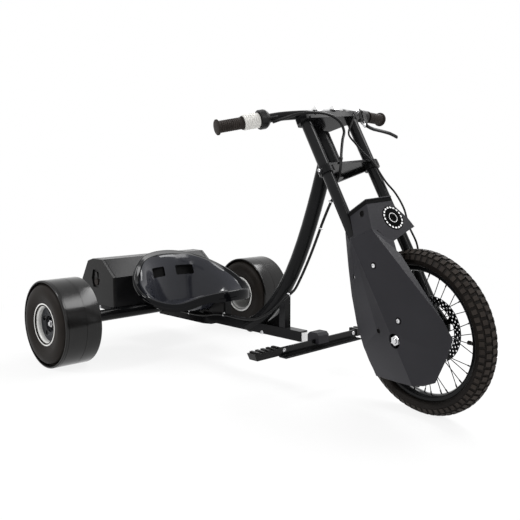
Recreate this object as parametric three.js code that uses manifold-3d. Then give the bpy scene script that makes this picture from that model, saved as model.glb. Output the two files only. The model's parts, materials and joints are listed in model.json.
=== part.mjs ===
// Electric drift trike: a steered, chain driven, spoked front wheel on a dual crown fork, a low bucket
// seat on a single beam, and two hard plastic slider wheels on a straight rear axle.
// Lengths are millimetres. +X points forward, +Y to the rider's left, +Z up.
import * as THREE from 'three';
import { mergeVertices } from 'three/addons/utils/BufferGeometryUtils.js';
import { ConvexGeometry } from 'three/addons/geometries/ConvexGeometry.js';
import Module from 'manifold-3d';

const wasm = await Module();
wasm.setup();

const radians = THREE.MathUtils.degToRad;
const V = (x, y, z) => new THREE.Vector3(x, y, z);

// Driving dimensions of the whole machine
const wheelbase = 977.6;
const rearTrack = 760;
const rearWheelRadius = 127;
const frontWheelRadius = 192.3;
const rakeAngle = radians(29.3);
const restSteerAngle = radians(-9.1);
const axleLead = 59;

// Fits: a seated piece keeps this gap to its seat, and a tool that cuts runs past the face by overrun
const seatGap = 0.3;
const overrun = 4;
const merged = 1e-4;

// Facet counts of round pieces
const wheelFacets = 24;
const tubeFacets = 14;
const smallFacets = 12;
const cordFacets = 8;

// Solids: closed meshes for joining and cutting

function bareMesh(geometry) {
  const bare = geometry.clone();
  bare.deleteAttribute('normal');
  bare.deleteAttribute('uv');
  const welded = mergeVertices(bare, merged);
  return { points: welded.attributes.position.array, faces: Uint32Array.from(welded.index.array) };
}

function signedVolume(points, faces) {
  let sum = 0;
  const [a, b, c] = [V(0, 0, 0), V(0, 0, 0), V(0, 0, 0)];
  for (let i = 0; i < faces.length; i += 3) {
    a.fromArray(points, 3 * faces[i]);
    b.fromArray(points, 3 * faces[i + 1]);
    c.fromArray(points, 3 * faces[i + 2]);
    sum += a.dot(b.cross(c));
  }
  return sum;
}

function solid(geometry) {
  const { points, faces } = bareMesh(geometry);
  if (signedVolume(points, faces) < 0) {
    for (let i = 0; i < faces.length; i += 3) {
      [faces[i + 1], faces[i + 2]] = [faces[i + 2], faces[i + 1]];
    }
  }
  return new wasm.Manifold(new wasm.Mesh({ numProp: 3, vertProperties: points, triVerts: faces }));
}

function join(first, ...others) {
  return others.reduce((whole, piece) => whole.add(piece), first);
}

function cut(body, ...tools) {
  return tools.reduce((whole, tool) => whole.subtract(tool), body);
}

function geometryOf(body) {
  const mesh = body.getMesh();
  const geometry = new THREE.BufferGeometry();
  geometry.setAttribute('position', new THREE.BufferAttribute(Float32Array.from(mesh.vertProperties), 3));
  geometry.setIndex(new THREE.BufferAttribute(Uint32Array.from(mesh.triVerts), 1));
  const flat = geometry.toNonIndexed();
  flat.computeVertexNormals();
  return flat;
}

// Primitive forms, each returned as a solid

function circleShape(radius, facets, turn = 0) {
  const points = [];
  for (let i = 0; i < facets; i += 1) {
    const angle = turn + (2 * Math.PI * i) / facets;
    points.push(new THREE.Vector2(radius * Math.cos(angle), radius * Math.sin(angle)));
  }
  return new THREE.Shape(points);
}

function polygonShape(points) {
  return new THREE.Shape(points.map(([x, y]) => new THREE.Vector2(x, y)));
}

function rodBetween(from, to, radius, facets = smallFacets, turn = 0) {
  const along = to.clone().sub(from);
  const length = along.length();
  const rod = new THREE.ExtrudeGeometry(circleShape(radius, facets, turn), { depth: length, bevelEnabled: false });
  const swing = new THREE.Quaternion().setFromUnitVectors(V(0, 0, 1), along.normalize());
  rod.applyQuaternion(swing);
  rod.translate(from.x, from.y, from.z);
  return solid(rod);
}

// A hole's facets stand outside its radius, so that a round piece in it keeps its gap all the way round
function bore(from, to, radius, facets = smallFacets) {
  return rodBetween(from, to, radius / Math.cos(Math.PI / facets), facets);
}

function tubeAlong(path, radius, facets, steps) {
  return solid(new THREE.ExtrudeGeometry(circleShape(radius, facets), { extrudePath: path, steps, bevelEnabled: false }));
}

function block(low, high) {
  const size = high.clone().sub(low);
  const middle = high.clone().add(low).multiplyScalar(0.5);
  return solid(new THREE.BoxGeometry(size.x, size.y, size.z).translate(middle.x, middle.y, middle.z));
}

// Outline in X and Z, given thickness from the lower to the upper Y
function slab(points, lowY, highY, holes = []) {
  const shape = points instanceof THREE.Shape ? points : polygonShape(points);
  shape.holes = holes;
  const plate = new THREE.ExtrudeGeometry(shape, { depth: highY - lowY, bevelEnabled: false });
  return solid(plate.rotateX(Math.PI / 2).translate(0, highY, 0));
}

// Outline in X and Y, given thickness from the lower to the upper Z
function plate(points, lowZ, highZ, holes = []) {
  const shape = points instanceof THREE.Shape ? points : polygonShape(points);
  shape.holes = holes;
  return solid(new THREE.ExtrudeGeometry(shape, { depth: highZ - lowZ, bevelEnabled: false }).translate(0, 0, lowZ));
}

// Closed profile of [radius, place along the axle] turned about the Y axis
function turned(profile, facets) {
  const ring = [...profile, profile[0]].map(([radius, along]) => new THREE.Vector2(radius, along));
  return solid(new THREE.LatheGeometry(ring, facets));
}

function hull(points) {
  return solid(new ConvexGeometry(points));
}

function mirrorY(body) {
  return body.mirror([0, 1, 0]);
}

// Materials: colours as the real surfaces show them

function finish(color, roughness, metalness) {
  return new THREE.MeshStandardMaterial({ color, roughness, metalness });
}

const blackPaint = () => finish(0x17181a, 0.38, 0.1);
const blackPlastic = () => finish(0x1b1b1d, 0.5, 0);
const charcoalPlastic = () => finish(0x2b2c30, 0.55, 0);
const seatPlastic = () => finish(0x121316, 0.2, 0);
const slickPlastic = () => finish(0x1d1c1d, 0.42, 0);
const tyreRubber = () => finish(0x221e1b, 0.85, 0);
const gripRubber = () => finish(0x2a2726, 0.8, 0);
const whitePaint = () => finish(0xe6e6e2, 0.35, 0.1);
const bareAluminium = () => finish(0xc9cacb, 0.3, 0.9);
const brightSteel = () => finish(0xd0d1d2, 0.25, 1);
const darkSteel = () => finish(0x3a3b3d, 0.4, 0.9);
const cordBlack = () => finish(0x101011, 0.5, 0);
const paleSleeve = () => finish(0xcfccc6, 0.5, 0);
const batteryGrey = () => finish(0x6b6d70, 0.6, 0);

function add(parent, name, body, material) {
  const mesh = new THREE.Mesh(geometryOf(body), material);
  mesh.name = name;
  parent.add(mesh);
  return mesh;
}

// Places that more than one piece shares

const wheelMiddleY = rearTrack / 2;
const frontAxle = V(wheelbase, 0, frontWheelRadius);
const steeringUp = V(-Math.sin(rakeAngle), 0, Math.cos(rakeAngle));
const steeringForward = V(Math.cos(rakeAngle), 0, Math.sin(rakeAngle));
const steeringFoot = frontAxle.clone().addScaledVector(steeringForward, -axleLead);

function onSteeringAxis(height) {
  return steeringFoot.clone().addScaledVector(steeringUp, height);
}

// Rear wheels

const rearAxle = { radius: 6, reach: 44, tubeRadius: 17.5, nutRadius: 11, nutHeight: 9, bearingSeat: 30 };
const sleeve = { wall: 5, width: 109, edgeRound: 2.5 };
const rearTyre = { wall: 7, bulge: 6.5, bulgeInset: 27, shoulderInset: 2.5 };
const rearRim = { lipRadius: 66, lip: 3.5, beadSeatRadius: 57.5, barrelWall: 3.5, lipOut: 5.2 };
const rearHub = { bossRadius: 21, discThickness: 4, discInset: 26, bearingRadius: 14, bearingWidth: 8, slotRadius: 6.5 };

const sleeveHalf = sleeve.width / 2;
const rearHubHalf = rearAxle.bearingSeat;
const rearBarrelInner = rearRim.beadSeatRadius - rearRim.barrelWall;

function rearSleeve() {
  const inner = rearWheelRadius - sleeve.wall;
  return turned([
    [inner, -sleeveHalf],
    [rearWheelRadius - sleeve.edgeRound, -sleeveHalf],
    [rearWheelRadius, -sleeveHalf + sleeve.edgeRound],
    [rearWheelRadius, sleeveHalf - sleeve.edgeRound],
    [rearWheelRadius - sleeve.edgeRound, sleeveHalf],
    [inner, sleeveHalf],
  ], wheelFacets);
}

function rearTyreBody() {
  const tread = rearWheelRadius - sleeve.wall - seatGap;
  const bead = rearRim.beadSeatRadius + seatGap;
  const beadSide = sleeveHalf + rearRim.lipOut - rearRim.lip - seatGap;
  const half = [
    [tread, sleeveHalf - rearTyre.shoulderInset],
    [tread - rearTyre.bulgeInset, sleeveHalf + rearTyre.bulge],
    [rearRim.lipRadius + seatGap, beadSide],
    [bead, beadSide],
    [bead, beadSide - rearTyre.wall],
    [tread - rearTyre.wall, sleeveHalf - 2 * rearTyre.wall],
  ];
  const other = half.map(([radius, along]) => [radius, -along]).reverse();
  return turned([...half, ...other], wheelFacets);
}

function rearRimBody() {
  const seat = rearRim.beadSeatRadius;
  const outer = sleeveHalf + rearRim.lipOut;
  const half = [
    [seat, outer - rearRim.lip],
    [rearRim.lipRadius, outer - rearRim.lip],
    [rearRim.lipRadius, outer],
    [rearBarrelInner, outer],
  ];
  const other = half.map(([radius, along]) => [radius, -along]).reverse();
  return turned([...half, ...other], wheelFacets);
}

function rearHubDisc() {
  const rim = rearBarrelInner - seatGap;
  const slots = [];
  const slotCount = 5;
  for (let i = 0; i < slotCount; i += 1) {
    const angle = (2 * Math.PI * i) / slotCount;
    const hole = circleShape(rearHub.slotRadius, 6).getPoints();
    const middle = (rim + rearHub.bossRadius) / 2;
    slots.push(new THREE.Path(hole.map((p) => new THREE.Vector2(
      p.x + middle * Math.cos(angle), p.y + middle * Math.sin(angle)))));
  }
  const discOut = sleeveHalf - rearHub.discInset;
  const disc = slab(circleShape(rim, wheelFacets), discOut - rearHub.discThickness, discOut, slots);
  const boss = rodBetween(V(0, -rearHubHalf, 0), V(0, rearHubHalf, 0), rearHub.bossRadius, tubeFacets);
  return cut(join(disc, boss), bore(V(0, -rearHubHalf - overrun, 0), V(0, rearHubHalf + overrun, 0),
    rearHub.bearingRadius, tubeFacets));
}

// Two ball bearings with the spacer that keeps them apart
function bearingSet(outer, inner, width, half) {
  const spacer = inner + width / 4;
  return turned([
    [inner, -half],
    [outer, -half],
    [outer, -half + width],
    [spacer, -half + width],
    [spacer, half - width],
    [outer, half - width],
    [outer, half],
    [inner, half],
  ], smallFacets);
}

function hexNut(radius, boreRadius, height) {
  const hole = boreRadius / Math.cos(Math.PI / smallFacets);
  return slab(circleShape(radius, 6), 0, height, [circleShape(hole, smallFacets)]);
}

function buildRearWheels(root) {
  const rearFoot = V(0, 0, rearWheelRadius);
  const axle = new THREE.Group();
  axle.position.copy(rearFoot);
  root.add(axle);
  const axleEnd = wheelMiddleY + rearAxle.reach;
  add(axle, 'rear_axle', rodBetween(V(0, -axleEnd, 0), V(0, axleEnd, 0), rearAxle.radius), brightSteel());
  for (const [side, sign] of [['right', -1], ['left', 1]]) {
    const wheel = new THREE.Group();
    wheel.position.set(0, sign * wheelMiddleY, 0);
    axle.add(wheel);
    const outward = (body) => (sign > 0 ? body : mirrorY(body));
    add(wheel, `rear_slider_sleeve_${side}`, rearSleeve(), slickPlastic());
    add(wheel, `rear_tyre_${side}`, rearTyreBody(), tyreRubber());
    add(wheel, `rear_rim_${side}`, rearRimBody(), whitePaint());
    add(wheel, `rear_hub_disc_${side}`, outward(rearHubDisc()), darkSteel());
    const bearings = bearingSet(rearHub.bearingRadius - seatGap, rearAxle.radius + seatGap,
      rearHub.bearingWidth, rearHubHalf);
    add(wheel, `rear_bearing_set_${side}`, bearings, brightSteel());
    const nut = hexNut(rearAxle.nutRadius, rearAxle.radius + seatGap, rearAxle.nutHeight);
    add(wheel, `rear_axle_nut_${side}`, outward(nut.translate([0, rearHubHalf + seatGap, 0])), brightSteel());
  }
}

// Frame

const headTube = { radius: 25, bore: 19, low: 452, reach: 96 };
headTube.high = headTube.low + headTube.reach;
const downTube = { radius: 20, meetShare: 0.515625, topLean: radians(16.5), topPull: 282.6, footX: 390.7, footZ: 118,
  footLean: radians(64.6), footPull: 151.6 };
const beam = { width: 50, low: 101, high: 134, end: 236, rear: -14, taper: 26 };
const forwardTube = { size: 28, wall: 2.5, low: 107, start: 190, end: 603, openFrom: 440 };
const strut = { size: 22, x: 532 };
const batteryStrap = { width: 40, thickness: 5, y: 120, reach: 178 };
const seatPost = { x: 288, size: 22, sideDip: 0.8 };
const seatCross = { x: 108, length: 46, width: 150, wall: 4 };
const frameBolt = { radius: 7, drop: 4, x: 444 };

function downTubePath() {
  const top = onSteeringAxis(headTube.low + headTube.reach * downTube.meetShare);
  const foot = V(downTube.footX, 0, downTube.footZ);
  const topPull = V(-Math.sin(downTube.topLean), 0, -Math.cos(downTube.topLean)).multiplyScalar(downTube.topPull);
  const footPull = V(Math.sin(downTube.footLean), 0, Math.cos(downTube.footLean)).multiplyScalar(downTube.footPull);
  return new THREE.CubicBezierCurve3(top, top.clone().add(topPull), foot.clone().add(footPull), foot);
}

// Height of the down tube's centre line where it passes over a place along the beam
function downTubeHeightAt(x) {
  const samples = downTubePath().getPoints(tubeFacets * 5);
  return samples.reduce((best, p) => (Math.abs(p.x - x) < Math.abs(best.x - x) ? p : best)).z;
}

function mainFrame() {
  const axleReach = wheelMiddleY - rearHubHalf - seatGap;
  const axleLine = (reach) => [V(0, -reach, rearWheelRadius), V(0, reach, rearWheelRadius)];
  const axleTube = rodBetween(...axleLine(axleReach), rearAxle.tubeRadius, tubeFacets);
  const axleBore = bore(...axleLine(axleReach + overrun), rearAxle.radius + seatGap);
  const head = rodBetween(onSteeringAxis(headTube.low), onSteeringAxis(headTube.high), headTube.radius,
    tubeFacets + 2);
  const headBore = bore(onSteeringAxis(headTube.low - overrun), onSteeringAxis(headTube.high + overrun),
    headTube.bore, tubeFacets + 2);
  const cupRoom = bore(onSteeringAxis(headTube.low - headset.height - overrun), onSteeringAxis(headTube.low),
    headset.lipRadius + seatGap, tubeFacets + 2);
  const down = tubeAlong(downTubePath(), downTube.radius, tubeFacets, smallFacets);
  const halfBeam = beam.width / 2;
  const halfTube = forwardTube.size / 2;
  const tubeHigh = forwardTube.low + forwardTube.size;
  const spine = plate([
    [beam.rear, -halfBeam], [beam.end - beam.taper, -halfBeam], [beam.end, -halfTube],
    [beam.end, halfTube], [beam.end - beam.taper, halfBeam], [beam.rear, halfBeam],
  ], beam.low, beam.high);
  const forward = block(V(forwardTube.start, -halfTube, forwardTube.low), V(forwardTube.end, halfTube, tubeHigh));
  const inside = forwardTube.wall;
  const sliderBore = block(V(forwardTube.openFrom, -halfTube + inside, forwardTube.low + inside),
    V(forwardTube.end + overrun, halfTube - inside, tubeHigh - inside));
  const halfStrut = strut.size / 2;
  const post = block(V(strut.x - halfStrut, -halfStrut, tubeHigh - inside),
    V(strut.x + halfStrut, halfStrut, downTubeHeightAt(strut.x)));
  const axleTop = rearWheelRadius + rearAxle.tubeRadius;
  const straps = [-1, 1].map((sign) => block(
    V(-batteryStrap.reach, sign * batteryStrap.y - batteryStrap.width / 2, axleTop - batteryStrap.thickness),
    V(0, sign * batteryStrap.y + batteryStrap.width / 2, axleTop)));
  const halfPost = seatPost.size / 2;
  const frontPost = block(V(seatPost.x - halfPost, -halfPost, tubeHigh - inside),
    V(seatPost.x + halfPost, halfPost, seatUnderside(seatPost.x - halfPost) - seatPost.sideDip - seatGap));
  const crossTop = seat.panHeight - seat.wall - seatGap;
  const halfCross = seatCross.length / 2;
  const cross = block(V(seatCross.x - halfCross, -seatCross.width / 2, crossTop - seatCross.wall),
    V(seatCross.x + halfCross, seatCross.width / 2, crossTop));
  const crossStem = block(V(seatCross.x - halfCross, -halfBeam, beam.high - inside),
    V(seatCross.x + halfCross, halfBeam, crossTop));
  const bolt = rodBetween(V(frameBolt.x, 0, forwardTube.low - frameBolt.drop),
    V(frameBolt.x, 0, forwardTube.low + inside / 2), frameBolt.radius, 6);
  const welded = join(spine, axleTube, forward, post, down, head, frontPost, cross, crossStem, bolt, ...straps);
  return cut(welded, headBore, cupRoom, axleBore, sliderBore);
}

// Headset: cup outside the head tube, cartridge inside it
const headset = { height: 8, lipRadius: 25.5, depth: 12, steererGap: 0.4 };
const steererRadius = 14;

function headsetRing() {
  const inner = steererRadius + headset.steererGap;
  const outer = headTube.bore - seatGap;
  const lipBelow = seatGap;
  const profile = [
    [inner, -headset.depth],
    [outer, -headset.depth],
    [outer, lipBelow],
    [headset.lipRadius, lipBelow],
    [headset.lipRadius - headset.height / 4, headset.height],
    [inner, headset.height],
  ];
  return turned(profile, tubeFacets + 6).rotate([90, 0, 0]);
}

// Seat: the rim is a smooth closed curve through points set as shares of the seat's sizes,
// and the wall runs down from it to a flat pan
const seat = { wall: 4, length: 340, halfWidth: 199, height: 157, rearX: -30, panHeight: 150,
  panLength: 190, panHalfWidth: 122, panX: 128, lipOut: 9, lipDrop: 13, slotWidth: 58.6, slotHeight: 30.4,
  slotY: 51.7, slotZ: 243.1, slotDepth: 70 };
const seatRimShares = [
  [0, 0, 1], [0.046, 0.41, 0.94], [0.193, 0.755, 0.766], [0.362, 0.987, 0.53], [0.577, 1, 0.296],
  [0.79, 0.74, 0.178], [0.948, 0.416, 0.3], [1, 0, 0.457],
];
const seatWallShares = [[0.12, 0.02], [0.3, 0.1], [0.62, 0.4], [0.86, 0.78], [1, 1]];
const seatAround = 36;

function seatRimPoint(turn) {
  const points = seatRimShares.map(([x, y, z]) => V(
    seat.rearX + x * seat.length, y * seat.halfWidth, seat.panHeight + z * seat.height));
  const other = points.slice(1, -1).reverse().map((p) => V(p.x, -p.y, p.z));
  return new THREE.CatmullRomCurve3([...points, ...other], true, 'centripetal').getPoint(turn);
}

function seatPanPoint(turn) {
  const rim = seatRimPoint(turn);
  const angle = Math.atan2(rim.y / seat.halfWidth, (rim.x - seat.panX) / seat.length);
  return V(seat.panX + (seat.panLength / 2) * Math.cos(angle), seat.panHalfWidth * Math.sin(angle), seat.panHeight);
}

// A place on the lip, out from the rim's line by a distance and down by another
function seatLipPoint(turn, out, down) {
  const rim = seatRimPoint(turn);
  const pan = seatPanPoint(turn);
  const outward = V(rim.x - pan.x, rim.y - pan.y, 0).normalize();
  return rim.addScaledVector(outward, out).add(V(0, 0, -down));
}

// The wall leaves the lip's inner edge
function seatSurface(turn, share, drop) {
  const edge = seatLipPoint(turn, -seat.lipOut, 0);
  const pan = seatPanPoint(turn);
  return V(edge.x + (pan.x - edge.x) * share, edge.y + (pan.y - edge.y) * share, edge.z + (pan.z - edge.z) * drop);
}

// Underside of the shell on the centre line, where the front post carries it; it dips to the sides
function seatUnderside(x) {
  const steps = [[0, 0], ...seatWallShares].map(([share, drop]) => seatSurface(0.5, share, drop));
  for (let i = 1; i < steps.length; i += 1) {
    const run = steps[i - 1].x - steps[i].x;
    const rise = steps[i - 1].z - steps[i].z;
    const along = (x - steps[i].x) / run;
    if (along >= 0) return steps[i].z + along * rise - (seat.wall * Math.hypot(run, rise)) / run;
  }
  return seat.panHeight - seat.wall;
}

function seatShell() {
  const rings = [];
  const ringOf = (place) => Array.from({ length: seatAround }, (_, i) => place(i / seatAround));
  const lip = (out, down) => ringOf((turn) => seatLipPoint(turn, out, down));
  rings.push(lip(-seat.wall / 4, seat.lipDrop));
  rings.push(lip(0, seat.wall));
  rings.push(lip(-seat.wall, 0));
  rings.push(lip(-seat.lipOut, 0));
  for (const [share, drop] of seatWallShares) {
    rings.push(ringOf((turn) => seatSurface(turn, share, drop)));
  }
  const inner = rings.slice(3);
  const under = inner.map((ring, k) => ring.map((point, i) => {
    const next = ring[(i + 1) % seatAround];
    const back = ring[(i + seatAround - 1) % seatAround];
    const up = k > 0 ? inner[k - 1][i] : rings[2][i];
    const down = k < inner.length - 1 ? inner[k + 1][i] : V(seat.panX, 0, seat.panHeight);
    const normal = next.clone().sub(back).cross(down.clone().sub(up)).normalize();
    return point.clone().addScaledVector(normal, seat.wall);
  }));
  const drop = seat.panHeight - seat.wall;
  under[under.length - 1].forEach((point) => { point.z = drop; });
  const hem = lip(-seat.wall - seat.wall / 4, seat.lipDrop);
  const all = [...rings, ...under.reverse(), hem];
  return { all, innerCount: rings.length };
}

function seatBody() {
  const { all, innerCount } = seatShell();
  const points = [];
  const faces = [];
  for (const ring of all) ring.forEach((p) => points.push(p.x, p.y, p.z));
  const at = (ring, i) => ring * seatAround + ((i + seatAround) % seatAround);
  const quad = (a, b, c, d) => faces.push(a, b, c, a, c, d);
  const panTop = innerCount - 1;
  const panUnder = innerCount;
  for (let ring = 0; ring < all.length; ring += 1) {
    if (ring === panTop) continue;
    const next = (ring + 1) % all.length;
    for (let i = 0; i < seatAround; i += 1) quad(at(ring, i), at(ring, i + 1), at(next, i + 1), at(next, i));
  }
  const topMiddle = points.length / 3;
  points.push(seat.panX, 0, seat.panHeight);
  const underMiddle = topMiddle + 1;
  points.push(seat.panX, 0, seat.panHeight - seat.wall);
  for (let i = 0; i < seatAround; i += 1) {
    faces.push(at(panTop, i), at(panTop, i + 1), topMiddle);
    faces.push(at(panUnder, i + 1), at(panUnder, i), underMiddle);
  }
  const geometry = new THREE.BufferGeometry();
  geometry.setAttribute('position', new THREE.BufferAttribute(new Float32Array(points), 3));
  geometry.setIndex(faces);
  const slots = [-1, 1].map((sign) => block(
    V(seat.rearX - seat.slotDepth / 4, sign * seat.slotY - seat.slotWidth / 2, seat.slotZ - seat.slotHeight / 2),
    V(seat.rearX + seat.slotDepth, sign * seat.slotY + seat.slotWidth / 2, seat.slotZ + seat.slotHeight / 2)));
  return cut(solid(geometry), ...slots);
}

// Battery box: a folded hexagonal case across the frame, closed by two end caps
const box = { frontX: -3, rearX: -188, low: 144.8, wall: 3, halfLength: 205, capDepth: 9, topZ: 289,
  topFrontX: -68, topRearX: -120, shoulderFrontZ: 238, shoulderRearX: -150, shoulderRearZ: 280, sideRearZ: 218 };
const port = { width: 48, endWidth: 30, height: 56, depth: 5, x: -104, z: 226, capRadius: 11, capThickness: 4, switchWidth: 12,
  switchHeight: 20, switchDepth: 4, switchIn: 5, gap: 3, windowGap: 1, pinIn: 0.9,
  pinRadius: 0.7 };
const pack = { length: 151, height: 94, thickness: 65, gap: 8, foot: 3, rearX: -168 };
const controller = { length: 74, width: 82, height: 34 };

function boxOutline(inset) {
  return [
    [box.frontX - inset, box.low + inset],
    [box.frontX - inset, box.shoulderFrontZ - inset / 2],
    [box.topFrontX - inset / 2, box.topZ - inset],
    [box.topRearX + inset / 4, box.topZ - inset],
    [box.shoulderRearX + inset / 2, box.shoulderRearZ - inset],
    [box.rearX + inset, box.sideRearZ - inset / 4],
    [box.rearX + inset, box.low + inset],
  ];
}

function batteryCase() {
  const half = box.halfLength - box.capDepth - seatGap;
  const outer = slab(boxOutline(0), -half, half);
  return cut(outer, slab(boxOutline(box.wall), -half - overrun, half + overrun));
}

function endCap(withPort) {
  const inner = box.halfLength - box.capDepth;
  const cap = slab(boxOutline(0), inner, box.halfLength);
  const spigot = slab(boxOutline(box.wall + seatGap), inner - box.capDepth, inner);
  const pocket = slab(boxOutline(2 * box.wall), inner - box.capDepth - overrun, inner + box.capDepth / 4);
  const body = cut(join(cap, spigot), pocket);
  if (!withPort) return body;
  const halfWidth = port.width / 2;
  const halfHeight = port.height / 2;
  const halfEnd = port.endWidth / 2;
  const recess = slab([
    [port.x + halfEnd, port.z + halfHeight], [port.x + halfWidth, port.z], [port.x + halfEnd, port.z - halfHeight],
    [port.x - halfEnd, port.z - halfHeight], [port.x - halfWidth, port.z], [port.x - halfEnd, port.z + halfHeight],
  ], box.halfLength - port.depth, box.halfLength + overrun);
  const window = slab([
    [port.x - port.switchWidth / 2 - port.windowGap, port.z + port.gap - port.windowGap],
    [port.x + port.switchWidth / 2 + port.windowGap, port.z + port.gap - port.windowGap],
    [port.x + port.switchWidth / 2 + port.windowGap, port.z + port.switchHeight + port.windowGap],
    [port.x - port.switchWidth / 2 - port.windowGap, port.z + port.switchHeight + port.windowGap],
  ], inner - port.depth, box.halfLength);
  return cut(body, recess, window);
}

function buildBatteryBox(root) {
  add(root, 'battery_case', batteryCase(), blackPaint());
  add(root, 'battery_end_cap_right', mirrorY(endCap(true)), blackPlastic());
  add(root, 'battery_end_cap_left', endCap(false), blackPlastic());
  const low = box.low + box.wall + seatGap;
  const cells = [-1, 0, 1].map((place) => {
    const y = place * (pack.thickness + pack.gap);
    return block(V(pack.rearX, y - pack.thickness / 2, low),
      V(pack.rearX + pack.length, y + pack.thickness / 2, low + pack.height));
  });
  const span = pack.thickness * 1.5 + pack.gap;
  const strap = block(V(pack.rearX + pack.length / 4, -span, low), V(pack.rearX + pack.length / 2, span, low + pack.foot));
  add(root, 'battery_pack', join(strap, ...cells), batteryGrey());
  const besideY = span + pack.gap;
  const lid = block(V(pack.rearX, besideY, low), V(pack.rearX + controller.length, besideY + controller.width - pack.gap * 2,
    low + controller.height));
  const fins = [0, 1, 2].map((i) => block(
    V(pack.rearX + (i * controller.length) / 3, besideY, low + controller.height - seatGap),
    V(pack.rearX + (i * controller.length) / 3 + pack.foot, besideY + controller.width - pack.gap * 2,
      low + controller.height + pack.gap)));
  add(root, 'motor_controller', join(lid, ...fins), bareAluminium());
  const face = -box.halfLength + port.depth;
  const rocker = hull([-1, 1].flatMap((end) => {
    const x = port.x + (end * port.switchWidth) / 2;
    return [
      V(x, face + port.switchIn, port.z + port.gap),
      V(x, face + port.switchIn, port.z + port.switchHeight),
      V(x, face - port.switchDepth, port.z + port.switchHeight),
      V(x, face - port.switchDepth / 2, port.z + port.gap),
    ];
  }));
  const pinY = face + port.pinIn;
  const pinZ = port.z + (port.gap + port.switchHeight) / 2;
  const pinHalf = port.switchWidth / 2 + port.windowGap - seatGap;
  const pin = rodBetween(V(port.x - pinHalf, pinY, pinZ), V(port.x + pinHalf, pinY, pinZ), port.pinRadius, cordFacets);
  add(root, 'power_switch', join(rocker, pin), blackPlastic());
  const capMiddle = V(port.x, face, port.z - port.capRadius);
  const disc = slab(circleShape(port.capRadius, smallFacets), -port.capThickness, -seatGap);
  add(root, 'charge_port_cap', disc.translate(capMiddle.toArray()), gripRubber());
}

// Footrest: a light tube slides in the frame's forward tube and carries a cross bar with two pegs
const footrest = { inserted: 70, barFace: 661, barHalf: 150, barHigh: 125, barLow: 100, webThickness: 5, flange: 20,
  flangeThickness: 4, clampRear: 634, clampFront: 673, clampHalf: 20, clampLow: 113, clampHigh: 142, clampChamfer: 7,
  pegEnd: 241, pegRear: 636, pegFront: 664, pegLow: 106, pegHigh: 127, toothCount: 5, toothDepth: 3.5, pegNose: 9 };

function footrestPieces(root) {
  const clear = forwardTube.wall + seatGap;
  const half = forwardTube.size / 2 - clear;
  const low = forwardTube.low + clear;
  const high = forwardTube.low + forwardTube.size - clear;
  const webRear = footrest.barFace - footrest.webThickness;
  add(root, 'footrest_slider', block(V(forwardTube.end - footrest.inserted, -half, low),
    V(webRear - seatGap, half, high)), bareAluminium());
  const web = block(V(webRear, -footrest.barHalf, footrest.barLow),
    V(footrest.barFace, footrest.barHalf, footrest.barHigh));
  const ledge = block(V(webRear, -footrest.barHalf, footrest.barLow),
    V(footrest.barFace + footrest.flange, footrest.barHalf, footrest.barLow + footrest.flangeThickness));
  add(root, 'footrest_bar', join(web, ledge), blackPaint());
  const top = footrest.clampHigh;
  const drop = footrest.clampChamfer;
  const housing = slab([
    [footrest.clampRear, footrest.clampLow], [footrest.clampFront, footrest.clampLow],
    [footrest.clampFront, top - drop], [footrest.clampFront - drop, top], [footrest.clampRear + drop, top],
    [footrest.clampRear, top - drop],
  ], -footrest.clampHalf, footrest.clampHalf);
  const tubeRoom = block(V(footrest.clampRear - overrun, -half - seatGap, footrest.clampLow - overrun),
    V(webRear, half + seatGap, high + seatGap));
  const barRoom = block(V(webRear - seatGap, -footrest.clampHalf - overrun, footrest.clampLow - overrun),
    V(footrest.barFace + seatGap, footrest.clampHalf + overrun, footrest.barHigh + seatGap));
  add(root, 'footrest_clamp', cut(housing, tubeRoom, barRoom), charcoalPlastic());
  const start = footrest.barHalf + seatGap;
  const step = (footrest.pegEnd - start) / footrest.toothCount;
  const crest = footrest.pegHigh;
  const root1 = crest - footrest.toothDepth;
  const teeth = [];
  for (let i = 0; i < footrest.toothCount; i += 1) {
    const at = start + i * step;
    teeth.push([at, crest], [at + step / 2, crest], [at + step / 2, root1], [at + step, root1]);
  }
  teeth.pop();
  const outline = [[start, footrest.pegLow], ...teeth, [footrest.pegEnd, root1],
    [footrest.pegEnd - footrest.pegNose, footrest.pegLow]];
  const turn = new THREE.Matrix4().makeBasis(V(0, 1, 0), V(0, 0, 1), V(1, 0, 0));
  for (const [side, sign] of [['right', -1], ['left', 1]]) {
    const tread = new THREE.ExtrudeGeometry(polygonShape(outline),
      { depth: footrest.pegFront - footrest.pegRear, bevelEnabled: false });
    tread.applyMatrix4(turn).translate(footrest.pegRear, 0, 0);
    const peg = solid(tread);
    add(root, `foot_peg_${side}`, sign > 0 ? peg : mirrorY(peg), blackPlastic());
  }
}

// Fork, in the steered frame: X ahead of the steering axis, Y left, Z up along it

// The lower crown stands a gap under the head tube and the upper one a gap over it
const lowerCrown = { gap: 9, thickness: 6, collarDepth: 13, collar: 6, backX: -18, rib: 7, ribDepth: 8,
  steererRise: 10.5 };
const upperCrown = { gap: 17, thickness: 14.5, collar: 9.5, backX: -19 };
lowerCrown.high = headTube.low - lowerCrown.gap;
lowerCrown.low = lowerCrown.high - lowerCrown.thickness;
lowerCrown.collarLow = lowerCrown.low - lowerCrown.collarDepth;
lowerCrown.ribLow = lowerCrown.low - lowerCrown.ribDepth;
upperCrown.low = headTube.high + upperCrown.gap;
upperCrown.high = upperCrown.low + upperCrown.thickness;
lowerCrown.steererTop = upperCrown.high + lowerCrown.steererRise;
const legs = { radius: 14, x: 49.6, y: 74.8, bottom: 16, topDip: 0.5, dropoutThickness: 6, dropoutRadius: 17 };
legs.top = upperCrown.high - legs.topDip;

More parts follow.
